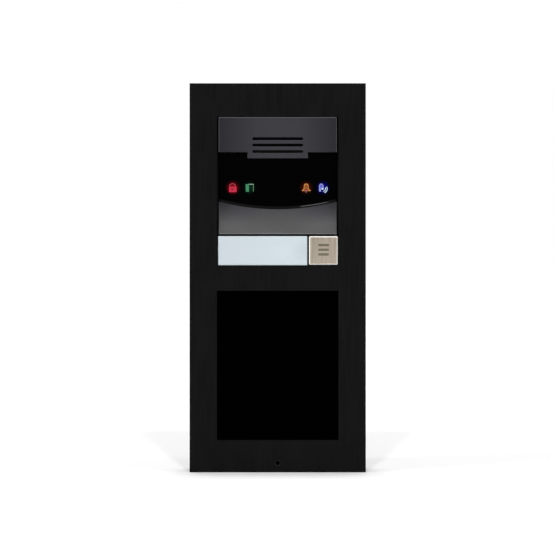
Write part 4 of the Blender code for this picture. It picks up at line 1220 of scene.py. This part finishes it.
def make_reader():
    """The plain black reader face and the flange behind it."""
    half_w, half_h, wall = 36.2 * MM, 44.55 * MM, 1.6 * MM
    front = reader_low.y
    outer = round_rect(*around(0, half_w), *around(READER_Z, half_h), 0.6 * MM)
    inner = round_rect(*around(0, half_w - wall), *around(READER_Z, half_h - wall), 0.4 * MM)
    mesh = plate_mesh("reader_face", [outer], (front, front + wall), 0.4 * MM)
    show("reader_face", mesh, "reader_black", stands_for="reader_cover")
    walls_y = (front + 1.1 * MM, -21.3 * MM)
    mesh = plate_mesh("reader_walls", [outer, inner], walls_y, 0.1 * MM, detail=1)
    show("reader_walls", mesh, "reader_black")
    outlines = [box_rect(reader_low, reader_high, 0, 2 * MM), inner, *module_screw_holes(READER_Z)]
    mesh = plate_mesh("reader_flange", outlines, (FLANGE_FRONT, FLANGE_REAR), 0.1 * MM, detail=1)
    show("reader_flange", mesh, "reader_black", FLANGE_BLACK_AND_SHADE)


# ---- carried-over CAD nodes ----

def dress_cad_nodes():
    """Give every CAD node that still shows its slot's finish."""
    slot_of = {row["node"]: row["material_slot"] for row in frame["record"]["subparts"]}
    for name, node in frame["nodes"].items():
        material = SPEAKER_MESH if name == "speaker_mesh" else FINISHES[slot_of[name]]
        node.data.materials.clear()
        node.data.materials.append(material)


# ---- studio ----

def make_floor():
    """A wide pale floor, just under the panel's lower edge."""
    reach = 40
    gap = 0.02 * MM
    shape = bmesh.new()
    bmesh.ops.create_grid(shape, x_segments=2, y_segments=2, size=reach)
    mesh = mesh_of(shape, "floor")
    mesh.materials.append(PALE_FLOOR)
    floor = placed("floor", mesh)
    floor.location.z = PANEL_BOTTOM - gap


def make_camera():
    """Square on to the front, level with the panel's middle."""
    distance = 1.2
    pixels_per_metre = 1662.6
    aim_x, aim_z = -0.72 * MM, 0.77 * MM
    camera = bpy.data.cameras.new("camera")
    camera.sensor_width = 36
    camera.lens = pixels_per_metre * distance * camera.sensor_width / IMAGE_SIDE
    camera.clip_start = 0.01
    camera.clip_end = 100
    item = placed("camera", camera)
    item.location = (aim_x, PANEL_FRONT - distance, aim_z)
    item.rotation_euler = (math.pi / 2, 0, 0)
    bpy.context.scene.camera = item


def soft_light(name, place, target, size, power):
    """A large lamp aimed at a point, which shows only in reflections."""
    lamp = bpy.data.lights.new(name, "AREA")
    lamp.shape = "RECTANGLE"
    lamp.size, lamp.size_y = size
    lamp.energy = power
    item = placed(name, lamp)
    item.location = place
    item.rotation_euler = (Vector(target) - Vector(place)).to_track_quat("-Z", "Y").to_euler()
    item.visible_camera = False
    item.visible_diffuse = False


def sun(name, azimuth, elevation, width, strength):
    """A distant soft lamp: azimuth from straight in front, elevation from level, in degrees."""
    lamp = bpy.data.lights.new(name, "SUN")
    lamp.energy = strength
    lamp.angle = math.radians(width)
    item = placed(name, lamp)
    turn, rise = math.radians(azimuth), math.radians(elevation)
    towards = Vector((math.sin(turn) * math.cos(rise), -math.cos(turn) * math.cos(rise), math.sin(rise)))
    item.rotation_euler = towards.to_track_quat("Z", "Y").to_euler()


def make_world():
    """White surroundings: full to the camera, softer as a light, dim in reflections."""
    world = bpy.data.worlds.new("studio")
    world.use_nodes = True
    nodes, links = world.node_tree.nodes, world.node_tree.links
    nodes.clear()
    path = nodes.new("ShaderNodeLightPath")
    shader = None
    for strength, ray in ((0.40, None), (0.12, "Is Glossy Ray"), (1.0, "Is Camera Ray")):
        background = nodes.new("ShaderNodeBackground")
        background.inputs["Color"].default_value = (1, 1, 1, 1)
        background.inputs["Strength"].default_value = strength
        if ray is None:
            shader = background.outputs["Background"]
            continue
        mix = nodes.new("ShaderNodeMixShader")
        links.new(path.outputs[ray], mix.inputs["Fac"])
        links.new(shader, mix.inputs[1])
        links.new(background.outputs["Background"], mix.inputs[2])
        shader = mix.outputs["Shader"]
    out = nodes.new("ShaderNodeOutputWorld")
    links.new(shader, out.inputs["Surface"])
    bpy.context.scene.world = world


def make_studio():
    """Floor, camera, surroundings and soft lights."""
    make_floor()
    make_camera()
    make_world()
    sun("top_light", azimuth=180, elevation=84.5, width=10, strength=1.35)
    sun("front_light_left", azimuth=-10, elevation=38, width=3.5, strength=0.8)
    sun("front_light_right", azimuth=10, elevation=38, width=3.5, strength=0.8)
    sun("side_light_left", azimuth=-60, elevation=22, width=8, strength=0.8)
    sun("side_light_right", azimuth=60, elevation=22, width=8, strength=0.6)
    soft_light("low_right_light", (0.255, -1.33, -0.07), (0, -0.028, 0.05), (0.18, 0.07), 0.9)
    bpy.context.scene.view_settings.view_transform = "Standard"


dress_cad_nodes()
make_studio()
make_front_frame()
make_wall_box()
make_frame_seal()
make_grommet()
make_security_screw()
make_flange()
make_hood()
make_chin()
make_visor()
make_icons()
make_nameplate()
make_call_button()
make_button_spring()
make_reader()
